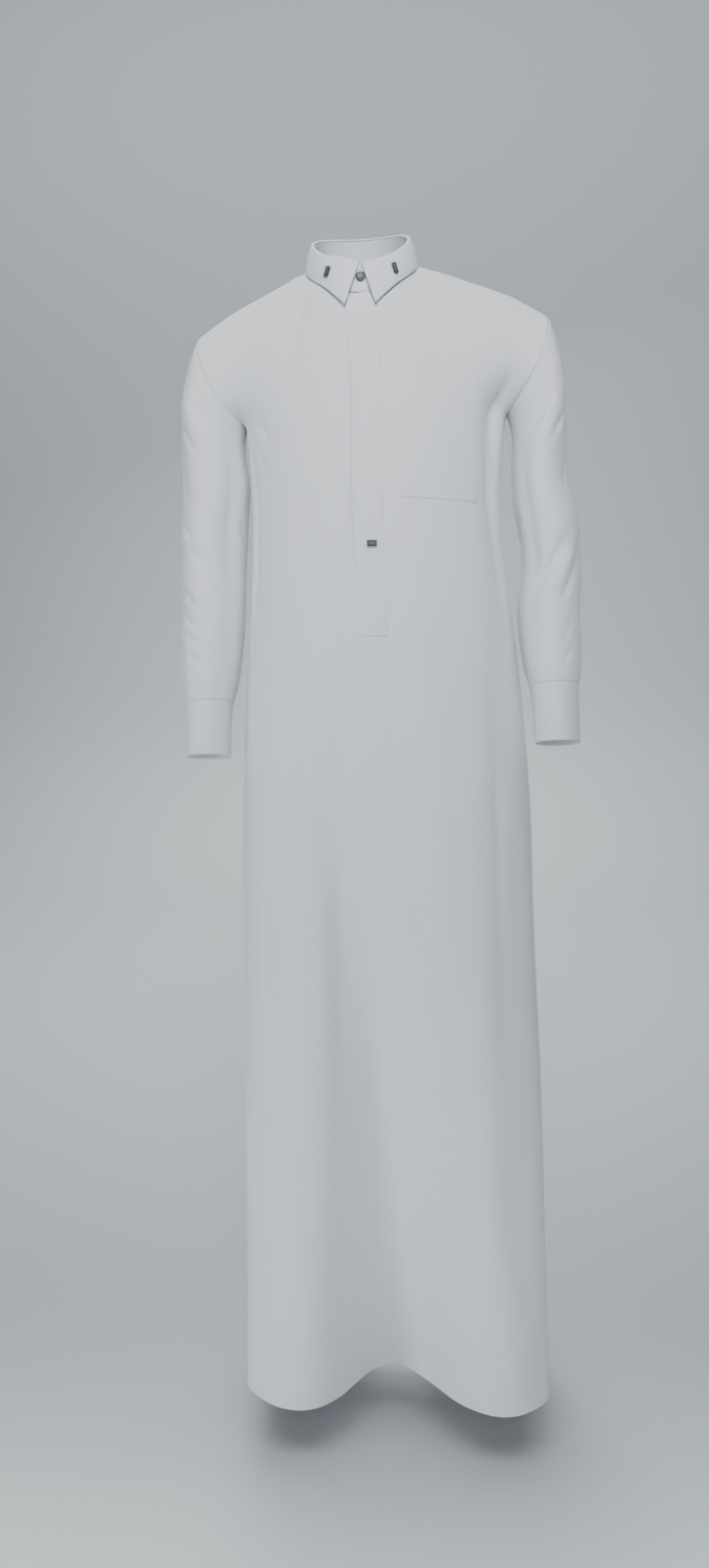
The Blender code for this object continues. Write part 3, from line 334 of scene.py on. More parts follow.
RIGHT_SLEEVE_FOLDS = [
    (16, 5.0, 0.45, (-0.176, -0.034, 0.190), (-0.180, -0.044, 0.260), (-0.183, -0.048, 0.333),
     (-0.182, -0.054, 0.410),
     (-0.188, -0.062, 0.480)),
    (6, 2.7, 0.40, (-0.2230, -0.054, 0.132), (-0.2090, -0.058, 0.152), (-0.1940, -0.052, 0.180)),
    (6, 2.6, 0.40, (-0.2310, -0.050, 0.146), (-0.2160, -0.059, 0.170), (-0.2020, -0.060, 0.194),
     (-0.190, -0.052, 0.214)),
    (7, 2.1, 0.45, (-0.2380, -0.040, 0.176), (-0.2270, -0.055, 0.200), (-0.2120, -0.062, 0.228)),
    (9, 1.9, 0.50, (-0.2450, -0.030, 0.215), (-0.2430, -0.044, 0.252), (-0.2360, -0.056, 0.286)),
    (7, 2.9, 0.45, (-0.2500, -0.036, 0.298), (-0.2400, -0.054, 0.312), (-0.2170, -0.064, 0.331)),
    (8, 4.2, 0.50, (-0.2470, -0.048, 0.322), (-0.2337, -0.058, 0.334), (-0.2100, -0.064, 0.360),
     (-0.1864, -0.045, 0.393)),
    (6, 2.4, 0.40, (-0.2520, -0.036, 0.381), (-0.2400, -0.058, 0.394), (-0.2126, -0.069, 0.411)),
    (6, 2.7, 0.45, (-0.2500, -0.044, 0.411), (-0.2380, -0.060, 0.425), (-0.2101, -0.071, 0.444)),
    (6, 2.7, 0.50, (-0.2480, -0.052, 0.432), (-0.2350, -0.066, 0.446), (-0.2106, -0.073, 0.465)),
    (6, 2.9, 0.50, (-0.2470, -0.058, 0.456), (-0.2350, -0.071, 0.470), (-0.2114, -0.076, 0.489)),
    (5, 2.6, 0.50, (-0.2460, -0.062, 0.480), (-0.2350, -0.074, 0.490), (-0.2155, -0.078, 0.505)),
    (5, 1.9, 0.50, (-0.2430, -0.068, 0.499), (-0.2340, -0.076, 0.505), (-0.2200, -0.079, 0.514)),
    # behind the arm
    (9, 3.5, 0.45, (-0.2460, 0.020, 0.180), (-0.2280, 0.044, 0.205), (-0.2040, 0.052, 0.232),
     (-0.188, 0.044, 0.256)),
    (9, 3.7, 0.50, (-0.2500, 0.018, 0.290), (-0.2320, 0.036, 0.318), (-0.2080, 0.038, 0.344),
     (-0.190, 0.026, 0.366)),
    (8, 2.9, 0.45, (-0.2500, 0.000, 0.350), (-0.2320, 0.022, 0.374), (-0.2100, 0.026, 0.398)),
    (7, 2.4, 0.50, (-0.2480, -0.010, 0.412), (-0.2300, 0.008, 0.434), (-0.2100, 0.010, 0.454)),
    (6, 2.2, 0.50, (-0.2460, -0.020, 0.450), (-0.2300, -0.003, 0.468), (-0.2110, 0.000, 0.484)),
    (6, 1.9, 0.50, (-0.2440, -0.028, 0.480), (-0.2300, -0.012, 0.494), (-0.2130, -0.010, 0.506)),
    (8, 2.9, 0.40, (-0.1880, -0.030, 0.290), (-0.1850, -0.010, 0.322), (-0.1900, 0.014, 0.350)),
]

shell = softened(sewn_shell(SHELL_PARTS), 3)
uncreased = skin_of(shell)


def crease(mesh):
    """Everything that wearing has done to the cloth, the same for the shell and for what is sewn on it."""
    press_folds(mesh, FRONT_FOLDS + BACK_FOLDS + LEFT_SLEEVE_FOLDS + RIGHT_SLEEVE_FOLDS, uncreased)
    for seed, (height, size) in enumerate(UNEVENNESS, 1):
        ease_surface(mesh, height, size, seed)


crease(shell)
draw_in_seams(shell, SEAM_SINK)
creased = skin_of(shell)


# ---------------------------------------------------------------- front and back panels
# Front and back are cut from the same cloth and sewn over the shoulders and down the sides, with a narrow
# allowance turned in. The hem is turned up inside and stitched.

BODY_RADIUS = 0.17
CLOTH_THICKNESS = 0.0006
SEAM_ALLOWANCE = 0.008
HEM_DEPTH = 0.024
HEM_LINE = HEM_DEPTH - 0.002   # height of its stitching above the edge
HEM_BEHIND = 0.0016       # how far the turned-up hem lies behind the panel
HEM_LEVEL = -1.46         # the edge below this height is the hem's
FRONT_KEPT = 0.93         # share of the front's fine faces that is kept
CLOTH_WHITE = (0.765, 0.800, 0.855, 1.0)
STITCH = 0.0026           # length of a machine stitch with its gap
STITCH_HALF = 0.42        # half of what shows of it, as a share of that length
THREAD = 0.00022          # the thread's radius
THREAD_FLAT = 0.8         # it is pressed a little flat
THREAD_OUT = 0.35         # and lies this far out of the cloth, in radii
# the placket's free edge, as drops and places, and the groove in the front beside it
FREE_EDGE = ((0.044, -0.0244), (0.075, -0.0229), (0.106, -0.0208), (0.137, -0.0190), (0.168, -0.0179),
             (0.199, -0.0184), (0.230, -0.0195), (0.261, -0.0204), (0.292, -0.0209), (0.323, -0.0207),
             (0.354, -0.0202), (0.369, -0.0199))
GROOVE_DEPTH, GROOVE_WIDTH, GROOVE_ASIDE, GROOVE_END = 0.0022, 0.0011, 0.0003, 0.01
GROOVE_CUTS = 0.0008      # the front is cut this finely where the groove runs


def lay_grain(mesh, places, girth=None):
    """The cloth's own map in metres: across the piece, and along its grain. Round a tube of the given girth,
    a face that closes the round goes on past its end."""
    grain = mesh.uv_layers.new(name="grain")
    corners = np.empty(len(mesh.loops), np.int32)
    mesh.loops.foreach_get("vertex_index", corners)
    places = np.asarray(places)[corners]
    if girth:
        starts = np.array([face.loop_start for face in mesh.polygons])
        spread = np.maximum.reduceat(places[:, 0], starts) - np.minimum.reduceat(places[:, 0], starts)
        sizes = np.diff(np.append(starts, len(places)))
        closing = np.repeat(spread > girth / 2, sizes) & (places[:, 0] < 0)
        places[closing, 0] += girth
    grain.data.foreach_set("uv", places.astype(np.float32).ravel())


def body_grain(mesh):
    points = mesh_points(mesh)
    bearing = np.arctan2(points[:, 0], np.abs(points[:, 1]))
    return np.stack([bearing * BODY_RADIUS, points[:, 2]], 1)


def plain_finish(name):
    """A new material, with its nodes and its links."""
    material = bpy.data.materials.new(name)
    material.use_nodes = True
    return material, material.node_tree.nodes, material.node_tree.links


def with_values(node, values):
    """Set a node's own sockets, and hand it back."""
    for socket, value in values.items():
        node.inputs[socket].default_value = value
    return node


def clouded(finish, nodes, links, cloud, colour, amount):
    """Let a cloudy pattern shift the finish's colour a little both ways."""
    tone = nodes.new("ShaderNodeMix")
    tone.data_type = "RGBA"
    with_values(tone, {"A": tuple(part * (1 - amount) for part in colour[:3]) + (1.0,),
                       "B": tuple(min(1.0, part * (1 + amount)) for part in colour[:3]) + (1.0,)})
    links.new(cloud.outputs["Fac"], tone.inputs["Factor"])
    links.new(tone.outputs["Result"], finish.inputs["Base Color"])


def rubbed(finish, nodes, links, cloud, smooth, rough):
    """Let a cloudy pattern vary the finish between smoother and rougher."""
    spread = with_values(nodes.new("ShaderNodeMapRange"), {"To Min": smooth, "To Max": rough})
    links.new(cloud.outputs["Fac"], spread.inputs["Value"])
    links.new(spread.outputs["Result"], finish.inputs["Roughness"])


def woven(name, colour, threads_per_metre, weave_depth, roughness, unevenness):
    """A plain weave that follows the cloth's own grain, with slightly uneven yarn and a soft sheen."""
    material, nodes, links = plain_finish(name)
    cloth = with_values(nodes["Principled BSDF"], {"Sheen Weight": 0.12, "Sheen Roughness": 0.45,
                                                   "Specular IOR Level": 0.30})
    grain = nodes.new("ShaderNodeUVMap")
    grain.uv_map = "grain"
    crossing = nodes.new("ShaderNodeMath")
    crossing.operation = "MAXIMUM"
    for way, (direction, closeness) in enumerate((("X", 1.0), ("Y", 0.93))):
        yarn = with_values(nodes.new("ShaderNodeTexWave"), {
            "Scale": threads_per_metre / 20.0 * closeness, "Distortion": 0.6, "Detail": 1.0,
            "Detail Scale": 0.4})
        yarn.wave_type, yarn.bands_direction, yarn.wave_profile = "BANDS", direction, "SIN"
        links.new(grain.outputs["UV"], yarn.inputs["Vector"])
        links.new(yarn.outputs["Fac"], crossing.inputs[way])
    weave = with_values(nodes.new("ShaderNodeBump"), {"Strength": 0.35, "Distance": weave_depth})
    links.new(crossing.outputs[0], weave.inputs["Height"])
    slub_map = with_values(nodes.new("ShaderNodeMapping"), {"Scale": (900.0, 60.0, 1.0)})
    links.new(grain.outputs["UV"], slub_map.inputs["Vector"])
    slub = with_values(nodes.new("ShaderNodeTexNoise"), {"Scale": 1.0, "Detail": 3.0})
    links.new(slub_map.outputs["Vector"], slub.inputs["Vector"])
    yarns = with_values(nodes.new("ShaderNodeBump"), {"Strength": 0.25, "Distance": weave_depth * 1.6})
    links.new(slub.outputs["Fac"], yarns.inputs["Height"])
    links.new(weave.outputs["Normal"], yarns.inputs["Normal"])
    links.new(yarns.outputs["Normal"], cloth.inputs["Normal"])
    broad = with_values(nodes.new("ShaderNodeTexNoise"), {"Scale": 7.0, "Detail": 4.0})
    links.new(nodes.new("ShaderNodeTexCoord").outputs["Object"], broad.inputs["Vector"])
    clouded(cloth, nodes, links, broad, colour, unevenness)
    rubbed(cloth, nodes, links, slub, roughness - 0.04, roughness + 0.04)
    return material


white_cloth = woven("white cotton cloth", CLOTH_WHITE, 2400, 0.00005, 0.86, 0.012)


def cut_out(part):
    """One part's own cloth, cut from the shell along its seams."""
    number = list(SHELL_PARTS).index(part)
    cloth = bmesh.new()
    cloth.from_mesh(shell)
    for edge in cloth.edges:
        edge.seam = len({face.material_index for face in edge.link_faces}) > 1
    others = [face for face in cloth.faces if face.material_index != number]
    bmesh.ops.delete(cloth, geom=others, context="FACES")
    return cloth


def turned_in(cloth, edges, depth, within=None):
    """Turn a strip of cloth in behind some of its edges, narrower where it would come out of the skin it lies
    within. Returns the strip's free edges."""
    cloth.normal_update()
    inward = {vertex: -vertex.normal for edge in edges for vertex in edge.verts}
    strip = bmesh.ops.extrude_edge_only(cloth, edges=edges)["geom"]
    for vertex in [item for item in strip if isinstance(item, bmesh.types.BMVert)]:
        root = next(edge.other_vert(vertex) for edge in vertex.link_edges
                    if edge.other_vert(vertex) in inward)
        for share in (1.0, 0.5, 0.25, 0.1):
            vertex.co = root.co + inward[root] * depth * share
            if within is None:
                break
            place, normal = within.find_nearest(vertex.co)[:2]
            if (vertex.co - place).dot(normal) < 0:
                break
    return [item for item in strip if isinstance(item, bmesh.types.BMEdge)]


def is_hem(edge):
    return all(vertex.co.z < HEM_LEVEL for vertex in edge.verts)


def turn_up_hem(cloth):
    """Turn the hem up inside the robe, clear of the cloth in front of it."""
    cloth.normal_update()
    skin = BVHTree.FromBMesh(cloth)
    edges = turned_in(cloth, [edge for edge in cloth.edges if edge.is_boundary and is_hem(edge)], HEM_BEHIND)
    rise = bmesh.ops.extrude_edge_only(cloth, edges=edges)["geom"]
    for vertex in [item for item in rise if isinstance(item, bmesh.types.BMVert)]:
        place, normal = skin.find_nearest(vertex.co + Vector((0, 0, HEM_DEPTH)))[:2]
        vertex.co = place - normal * HEM_BEHIND


def finished_cloth(name, mesh, material, thickness, node):
    """Give a cloth side its thickness, and hang it on the body in place of its solid."""
    mesh.materials.clear()
    mesh.materials.append(material)
    mesh.shade_smooth()
    mesh.set_sharp_from_angle(angle=math.radians(50))
    piece = placed(name, mesh)
    wall = piece.modifiers.new("thickness", "SOLIDIFY")
    wall.thickness = thickness
    wall.offset = -1.0
    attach(piece, "root")
    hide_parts(node)
    return piece


def as_mesh(cloth, name):
    mesh = bpy.data.meshes.new(name)
    cloth.to_mesh(mesh)
    cloth.free()
    return mesh


def edge_runs(mesh, inset, wanted):
    """Lines that follow the wanted parts of a piece's open edges at a distance, as rows of places and
    normals."""
    cloth = bmesh.new()
    cloth.from_mesh(mesh)
    cloth.normal_update()
    skin = BVHTree.FromBMesh(cloth)
    spots = {}
    for vertex in cloth.verts:
        if not vertex.is_boundary or not wanted(vertex.co):
            continue
        rims = [edge for edge in vertex.link_edges if edge.is_boundary]
        along = (rims[0].other_vert(vertex).co - rims[-1].other_vert(vertex).co).normalized()
        inward = sum((face.calc_center_median() for face in vertex.link_faces), Vector())
        inward = inward / len(vertex.link_faces) - vertex.co
        inward -= along * inward.dot(along) + vertex.normal * inward.dot(vertex.normal)
        spots[vertex] = skin.find_nearest(vertex.co + inward.normalized() * inset)[:2]

    def neighbours(vertex):
        rims = [edge for edge in vertex.link_edges if edge.is_boundary]
        return [edge.other_vert(vertex) for edge in rims if edge.other_vert(vertex) in spots]

    runs = []
    for ends_only in (True, False):
        for vertex in list(spots):
            if vertex not in spots or (ends_only and len(neighbours(vertex)) != 1):
                continue
            run, taken = [vertex], {vertex}
            while following := [near for near in neighbours(run[-1]) if near not in taken]:
                run.append(following[0])
                taken.add(following[0])
            runs.append([spots[spot] for spot in run])
            for spot in run:
                del spots[spot]
    cloth.free()
    return [run for run in runs if len(run) > 2]


def twisted(name, colour, twist):
    """Two-ply thread, with a fine slanting twist."""
    material, nodes, links = plain_finish(name)
    thread = with_values(nodes["Principled BSDF"], {"Base Color": colour, "Roughness": 0.6,
                                                    "Sheen Weight": 0.1})
    plies = with_values(nodes.new("ShaderNodeTexWave"), {"Scale": twist})
    plies.bands_direction = "DIAGONAL"
    links.new(nodes.new("ShaderNodeTexCoord").outputs["Object"], plies.inputs["Vector"])
    relief = with_values(nodes.new("ShaderNodeBump"), {"Strength": 0.5, "Distance": 0.00005})
    links.new(plies.outputs["Fac"], relief.inputs["Height"])
    links.new(relief.outputs["Normal"], thread.inputs["Normal"])
    return material


white_thread = twisted("white sewing thread", (0.77, 0.785, 0.795, 1.0), 900)


def stitched(name, runs, thread=white_thread):
    """Machine stitches along each run, every stitch a short thread that lies on the cloth."""
    stitch = bmesh.new()
    bmesh.ops.create_uvsphere(stitch, u_segments=6, v_segments=4, radius=1)
    bmesh.ops.scale(stitch, verts=stitch.verts, vec=(THREAD, THREAD * THREAD_FLAT, STITCH * STITCH_HALF))
    one = as_mesh(stitch, "one stitch")
    shape = mesh_points(one)
    line = bmesh.new()
    for run in runs:
        places = np.array([tuple(place) for place, normal in run])
        normals = np.array([tuple(normal) for place, normal in run])
        lengths = np.concatenate([[0], np.cumsum(np.linalg.norm(np.diff(places, axis=0), axis=1))])

        def at(rows, distance):
            return Vector([np.interp(distance, lengths, rows[:, axis]) for axis in range(3)])

        for distance in np.arange(STITCH / 2, lengths[-1] - STITCH / 2, STITCH):
            along = (at(places, distance + STITCH / 2) - at(places, distance - STITCH / 2)).normalized()
            across = along.cross(at(normals, distance)).normalized()
            outward = across.cross(along)
            middle = at(places, distance) + outward * THREAD * THREAD_OUT
            move_points(one, shape @ np.array([across, outward, along]) + np.array(middle))
            line.from_mesh(one)
    mesh = as_mesh(line, name)
    mesh.materials.append(thread)
    mesh.shade_smooth()
    piece = placed(name, mesh)
    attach(piece, "root")
    return piece


def opened_along(cloth, edge):
    """Press the front in along the placket's free edge, so that the edge stands clear of it."""
    drops, places = zip(*edge)
    for x in np.arange(min(places) - 0.0020, max(places) + 0.0020, GROOVE_CUTS):
        beside = [face for face in cloth.faces if abs(face.calc_center_median().x - x) < 0.006
                  and drops[0] < -face.calc_center_median().z < drops[-1]]
        meeting = {item for face in beside for item in (*face.verts, *face.edges)}
        bmesh.ops.bisect_plane(cloth, geom=beside + list(meeting), plane_co=(x, 0, 0), plane_no=(1, 0, 0))
    for vertex in cloth.verts:
        drop = -vertex.co.z
        apart = vertex.co.x - np.interp(drop, drops, places) + GROOVE_ASIDE
        if abs(apart) < 0.004 and vertex.co.y < 0:
            fade = max(0.0, min(1.0, (drop - drops[0]) / GROOVE_END, (drops[-1] - drop) / GROOVE_END))
            vertex.co.y += GROOVE_DEPTH * fade * math.exp(-(apart / GROOVE_WIDTH) ** 2)


skins = {}
for side, flat, cut in (("front", (0.70, 1.54), 0.832), ("back", (0.66, 1.55), 0.836)):
    cloth = cut_out(side)
    skins[side] = BVHTree.FromBMesh(cloth)
    hem_runs = edge_runs(as_mesh(cloth.copy(), side), HEM_LINE, lambda place: place.z < HEM_LEVEL)
    hem_line = stitched(f"{side}_hem_stitching", hem_runs)
    if side == "front":
        opened_along(cloth, FREE_EDGE)
    seams = [edge for edge in cloth.edges if edge.seam and edge.is_boundary]
    turned_in(cloth, seams, SEAM_ALLOWANCE, creased)
    turn_up_hem(cloth)
    panel = as_mesh(cloth, side)
    lay_grain(panel, body_grain(panel))
    panel = finished_cloth(f"{side}_cloth", panel, white_cloth, CLOTH_THICKNESS, side)
    if side == "front":
        spared = panel.modifiers.new("spared", "DECIMATE")
        spared.ratio = FRONT_KEPT
        panel.modifiers.move(len(panel.modifiers) - 1, 0)


# ---------------------------------------------------------------- sleeves
# Each sleeve is one piece of the same cloth, closed by a seam under the arm and set into the armhole. It
# narrows to the wrist, is cut a little too long, and lies over the cuff in soft creases.

SLEEVE_RADIUS = 0.044


def tube_grain(mesh, radius):
    """Round a sleeve or a cuff by its bearing from the middle of the arm, and along it by height."""
    points = mesh_points(mesh)
    heights = np.linspace(points[:, 2].min(), points[:, 2].max(), 13)
    middles = np.array([points[np.abs(points[:, 2] - height) < 0.03].mean(0) for height in heights])
    x = points[:, 0] - np.interp(points[:, 2], heights, middles[:, 0])
    y = points[:, 1] - np.interp(points[:, 2], heights, middles[:, 1])
    return np.stack([np.arctan2(x, -y) * radius, points[:, 2]], 1)


for side, flat, cut in (("left", (0.330, 0.475), 0.1303), ("right", (0.338, 0.485), 0.1367)):
    cloth = cut_out(f"sleeve_{side}")
    skins[f"sleeve_{side}"] = BVHTree.FromBMesh(cloth)
    turned_in(cloth, [edge for edge in cloth.edges if edge.is_boundary], SEAM_ALLOWANCE, creased)
    sleeve = as_mesh(cloth, f"sleeve_{side}")
    lay_grain(sleeve, tube_grain(sleeve, SLEEVE_RADIUS), 2 * math.pi * SLEEVE_RADIUS)
    sleeve = finished_cloth(f"sleeve_{side}_cloth", sleeve, white_cloth, CLOTH_THICKNESS,
                            f"sleeve_{side}")


# ---------------------------------------------------------------- cuffs
# A cuff is a plain band of two layers of cloth with a firm lining between them, stitched along its foot.
# The sleeve hangs over its top edge.

CUFF_RADIUS = 0.036
CUFF_WALL = 0.0014
CUFF_LINE = 0.005         # height of its stitching above the edge
CUFF_FOOT = 0.03          # the edge below this height above its lowest place is its foot

for side, flat, cut in (("left", (0.223, 0.089), 0.0183), ("right", (0.222, 0.086), 0.0176)):
    cloth = cut_out(f"cuff_{side}")
    foot = min(vertex.co.z for vertex in cloth.verts) + CUFF_FOOT
    foot_runs = edge_runs(as_mesh(cloth.copy(), side), CUFF_LINE, lambda place: place.z < foot)
    cuff_line = stitched(f"cuff_{side}_stitching", foot_runs)
    seams = [edge for edge in cloth.edges if edge.seam and edge.is_boundary]
    turned_in(cloth, seams, SEAM_ALLOWANCE, creased)
    cuff = as_mesh(cloth, f"cuff_{side}")
    lay_grain(cuff, tube_grain(cuff, CUFF_RADIUS), 2 * math.pi * CUFF_RADIUS)
    cuff = finished_cloth(f"cuff_{side}_cloth", cuff, white_cloth, CUFF_WALL, f"cuff_{side}")


# ---------------------------------------------------------------- placket
# The placket is a strip of folded cloth sewn over the front opening. Its edge on the wearer's right is free
# down to the foot of the opening, the other is stitched down, and its foot is closed with a stitched box. A
# second strip lies under the opening.

PLACKET_WALL = 0.0006
PLACKET_LINE = 0.0022           # distance of its stitching from the edge
UNDERLAP_WALL = 0.0010
OPENING_FOOT = 0.369            # drop where the opening ends
BOX_DROPS = (0.411, 0.4455)
BOX_HALF = 0.0155               # half the width of the box's upper stitching
BOX_RISE = 0.0005               # how far the folded box stands off the front
FREE_RISE, FREE_WIDTH = 0.0012, 0.012   # height and breadth of the free edge's lift
SEWN_SINK, SEWN_PUFF = -0.0001, 0.0004  # a sewn edge lies in the front, and the cloth inside it rises
SOLID_RISE = {"placket": 0.0019, "chest_pocket": 0.0018}   # how far the solids stand off the front


def strip_grain(mesh):
    points = mesh_points(mesh)
    return np.stack([points[:, 0], points[:, 2]], 1)


def sewn_on(node, rounds, rise):
    """A piece sewn flat on the front: it takes the front's creases, and stands off it by rise(place, reach),
    where reach is the distance to the piece's nearest edge."""
    patch = softened(outer_side(node, (0, -1, 0)), rounds)
    crease(patch)
    cloth = bmesh.new()
    cloth.from_mesh(patch)
    rims = np.array([tuple(vertex.co) for vertex in cloth.verts if vertex.is_boundary])
    cloth.free()
    points, normals = mesh_points(patch), mesh_normals(patch)
    reaches = [np.sqrt(((rims - point) ** 2).sum(1).min()) for point in points]
    sink = np.array([SOLID_RISE[node] - rise(point, reach) for point, reach in zip(points, reaches)])
    move_points(patch, points - normals * sink[:, None])
    return patch


def sewn_rise(reach):
    return SEWN_SINK + SEWN_PUFF * min(reach / 0.008, 1.0)


def placket_rise(place, reach):
    """Free and a little lifted on the wearer's right above the opening's foot, pressed into the front
    elsewhere."""
    drops, edge = zip(*FREE_EDGE)
    inside = place[0] - np.interp(-place[2], drops, edge)
    free = max(0.0, 1 - inside / FREE_WIDTH) * max(0.0, min(1.0, (place[2] + OPENING_FOOT) / 0.010))
    sewn = sewn_rise(reach)
    if -place[2] > BOX_DROPS[1] + 0.012:
        sewn += BOX_RISE
    if BOX_DROPS[0] < -place[2] < BOX_DROPS[1]:
        sewn += BOX_RISE * min(reach / 0.003, 1.0)
    return sewn + free * (FREE_RISE - sewn)


placket = sewn_on("placket", 4, placket_rise)
skins["placket"] = skin_of(placket)
box_top = [skins["placket"].find_nearest(Vector((x, -0.13, -BOX_DROPS[0])))[:2]
           for x in np.linspace(-BOX_HALF, BOX_HALF, 9)]
strip_edges = edge_runs(placket, PLACKET_LINE, lambda place: place.z < -0.06)
placket_line = stitched("placket_stitching", strip_edges + [box_top])
lay_grain(placket, strip_grain(placket))
placket = finished_cloth("placket_cloth", placket, white_cloth, PLACKET_WALL, "placket")

underlap = softened(outer_side("placket_underlap", (0, -1, 0)), 3)
crease(underlap)
lay_grain(underlap, strip_grain(underlap))
underlap = finished_cloth("placket_underlap_cloth", underlap, white_cloth, UNDERLAP_WALL,
                          "placket_underlap")


# ---------------------------------------------------------------- chest pocket
# A patch pocket on the wearer's left breast, of one layer of the same cloth. Its mouth is hemmed, and it is
# stitched down along its sides and foot.

POCKET_WALL = 0.0007
POCKET_LINE = 0.0018            # distance of its stitching from the edge
POCKET_INNER = 0.038            # place of its inner upper corner
POCKET_MOUTH = 0.206            # drop of the same corner
POCKET_SLANT = 0.079            # fall of the mouth for each metre of its width
POCKET_FOOT = 0.072             # where its foot begins to rise, below the mouth
MOUTH_HEM = 0.018
MOUTH_RISE, FOOT_RISE = 0.0002, 0.0004


def mouth_drop(x):
    return POCKET_MOUTH + (x - POCKET_INNER) * POCKET_SLANT


def pocket_rise(place, reach):
    """Its sides lie in the front, its foot stands off it and its mouth is slightly open."""
    below = -place[2] - mouth_drop(place[0])
    mouth_share = max(0.0, 1 - below / 0.015)
    foot_share = max(0.0, min(1.0, (below - POCKET_FOOT) / 0.008))
    return sewn_rise(reach) + MOUTH_RISE * mouth_share + FOOT_RISE * foot_share


pocket = sewn_on("chest_pocket", 4, pocket_rise)
skins["chest_pocket"] = skin_of(pocket)
sides = edge_runs(pocket, POCKET_LINE, lambda place: -place.z > mouth_drop(place.x) + 0.004)
mouth = [skins["chest_pocket"].find_nearest(Vector((x, -0.11, -mouth_drop(x) - MOUTH_HEM)))[:2]
         for x in np.linspace(0.042, 0.134, 18)]
pocket_line = stitched("pocket_stitching", sides + [mouth])
lay_grain(pocket, strip_grain(pocket))
pocket = finished_cloth("chest_pocket_cloth", pocket, white_cloth, POCKET_WALL, "chest_pocket")


# ---------------------------------------------------------------- collar
# A two-piece shirt collar: a standing band that closes with the neck button, and a fall folded over it, both
# of two layers with a firm lining, the edges turned in and stitched a few millimetres from the edge.

COLLAR_RADIUS = 0.070
COLLAR_WHITE = (0.78, 0.815, 0.880, 1.0)
NECK_MIDDLE = -0.0065           # the neck button stands a little off the origin
FALL_FOOT, FALL_HEIGHT = -0.056, 0.050   # where the fronts begin to lean, and over what height
FALL_LEAN, LEAN_REACH = 0.0036, 0.050    # how far each leans at the fold, and how far round it runs out
collar_cloth = woven("firm collar cloth", COLLAR_WHITE, 2600, 0.00004, 0.80, 0.008)


def collar_grain(mesh):
    points = mesh_points(mesh)
    bearing = np.arctan2(points[:, 0] + 0.0105, -(points[:, 1] + 0.010))
    return np.stack([bearing * COLLAR_RADIUS, points[:, 2]], 1)


def beside_the_robe(place):
    return min(skins[side].find_nearest(place)[3] for side in ("front", "back")) < 0.004


def clear_of_the_stand(place):
    return skins["collar_stand"].find_nearest(place)[3] > 0.0030


def fronts_together(mesh):
    """Lean the fall's two fronts towards each other, most at the fold and not at all at their points."""
    points = mesh_points(mesh)
    aside = points[:, 0] - NECK_MIDDLE
    height = np.clip((points[:, 2] - FALL_FOOT) / FALL_HEIGHT, 0, 1)
    near = np.clip(1 - np.abs(aside) / LEAN_REACH, 0, 1)
    lean = FALL_LEAN * height * near * near * (3 - 2 * near) * (points[:, 1] < -0.03)
    points[:, 0] -= np.sign(aside) * lean
    move_points(mesh, points)


for part, bend, wall, flat, cut, inset, wanted in (
        ("collar_stand", 40, 0.0014, (0.447, 0.036), 0.0135, 0.0018, beside_the_robe),
        ("collar_fall", 56, 0.0012, (0.448, 0.058), 0.0176, 0.0040, clear_of_the_stand)):
    cloth = softened(outer_side(part, (0, -1, 0), bend), 3)
    if part == "collar_fall":
        fronts_together(cloth)
    skins[part] = skin_of(cloth)
    collar_line = stitched(f"{part}_stitching", edge_runs(cloth, inset, wanted))
    lay_grain(cloth, collar_grain(cloth), 2 * math.pi * COLLAR_RADIUS)
    cloth = finished_cloth(f"{part}_cloth", cloth, collar_cloth, wall, part)


# ---------------------------------------------------------------- neck button and studs
# The collar band closes with a small four-hole button, turned from dark horn with a lighter dished middle and
# sewn on with dark thread. The collar's two fronts and the placket carry dark enamelled studs with a raised
# frame round a lighter band.

ENAMEL_DARK = (0.022, 0.027, 0.028, 1.0)
ENAMEL_LIGHT = (0.115, 0.125, 0.128, 1.0)
BUTTON_RING = ((0.0, 0.00), (0.84, 0.00), (0.97, 0.10), (1.0, 0.36), (1.0, 0.66), (0.95, 0.90),
               (0.86, 1.00), (0.76, 0.99), (0.68, 0.86), (0.62, 0.68), (0.54, 0.62), (0.0, 0.60))
BUTTON_HOLE = 0.00062
HOLE_PLACE = 0.0011             # distance of the holes from the button's middle, each way
THREAD_APART = 0.00018          # half the distance between two threads through the same holes
STUD_CORNER, STUD_RIM, STUD_FRAME = 0.0009, 0.0007, 0.0005
BAND_EDGE, BAND_DEPTH = 0.0003, 0.0005


def enamelled(name, colour, roughness, mottle):
    """Dark enamel or horn, faintly clouded, with a fine worn gloss."""
    material, nodes, links = plain_finish(name)
    enamel = with_values(nodes["Principled BSDF"], {"Coat Weight": 0.35, "Coat Roughness": 0.12})
    cloud = with_values(nodes.new("ShaderNodeTexNoise"), {"Scale": 700.0, "Detail": 3.0})
    links.new(nodes.new("ShaderNodeTexCoord").outputs["Object"], cloud.inputs["Vector"])
    clouded(enamel, nodes, links, cloud, colour, mottle)
    rubbed(enamel, nodes, links, cloud, roughness - 0.06, roughness + 0.08)
    return material


dark_enamel = enamelled("dark enamel", ENAMEL_DARK, 0.34, 0.25)
light_band = enamelled("grey horn", ENAMEL_LIGHT, 0.42, 0.20)
dark_thread = twisted("dark button thread", (0.05, 0.055, 0.057, 1.0), 1400)


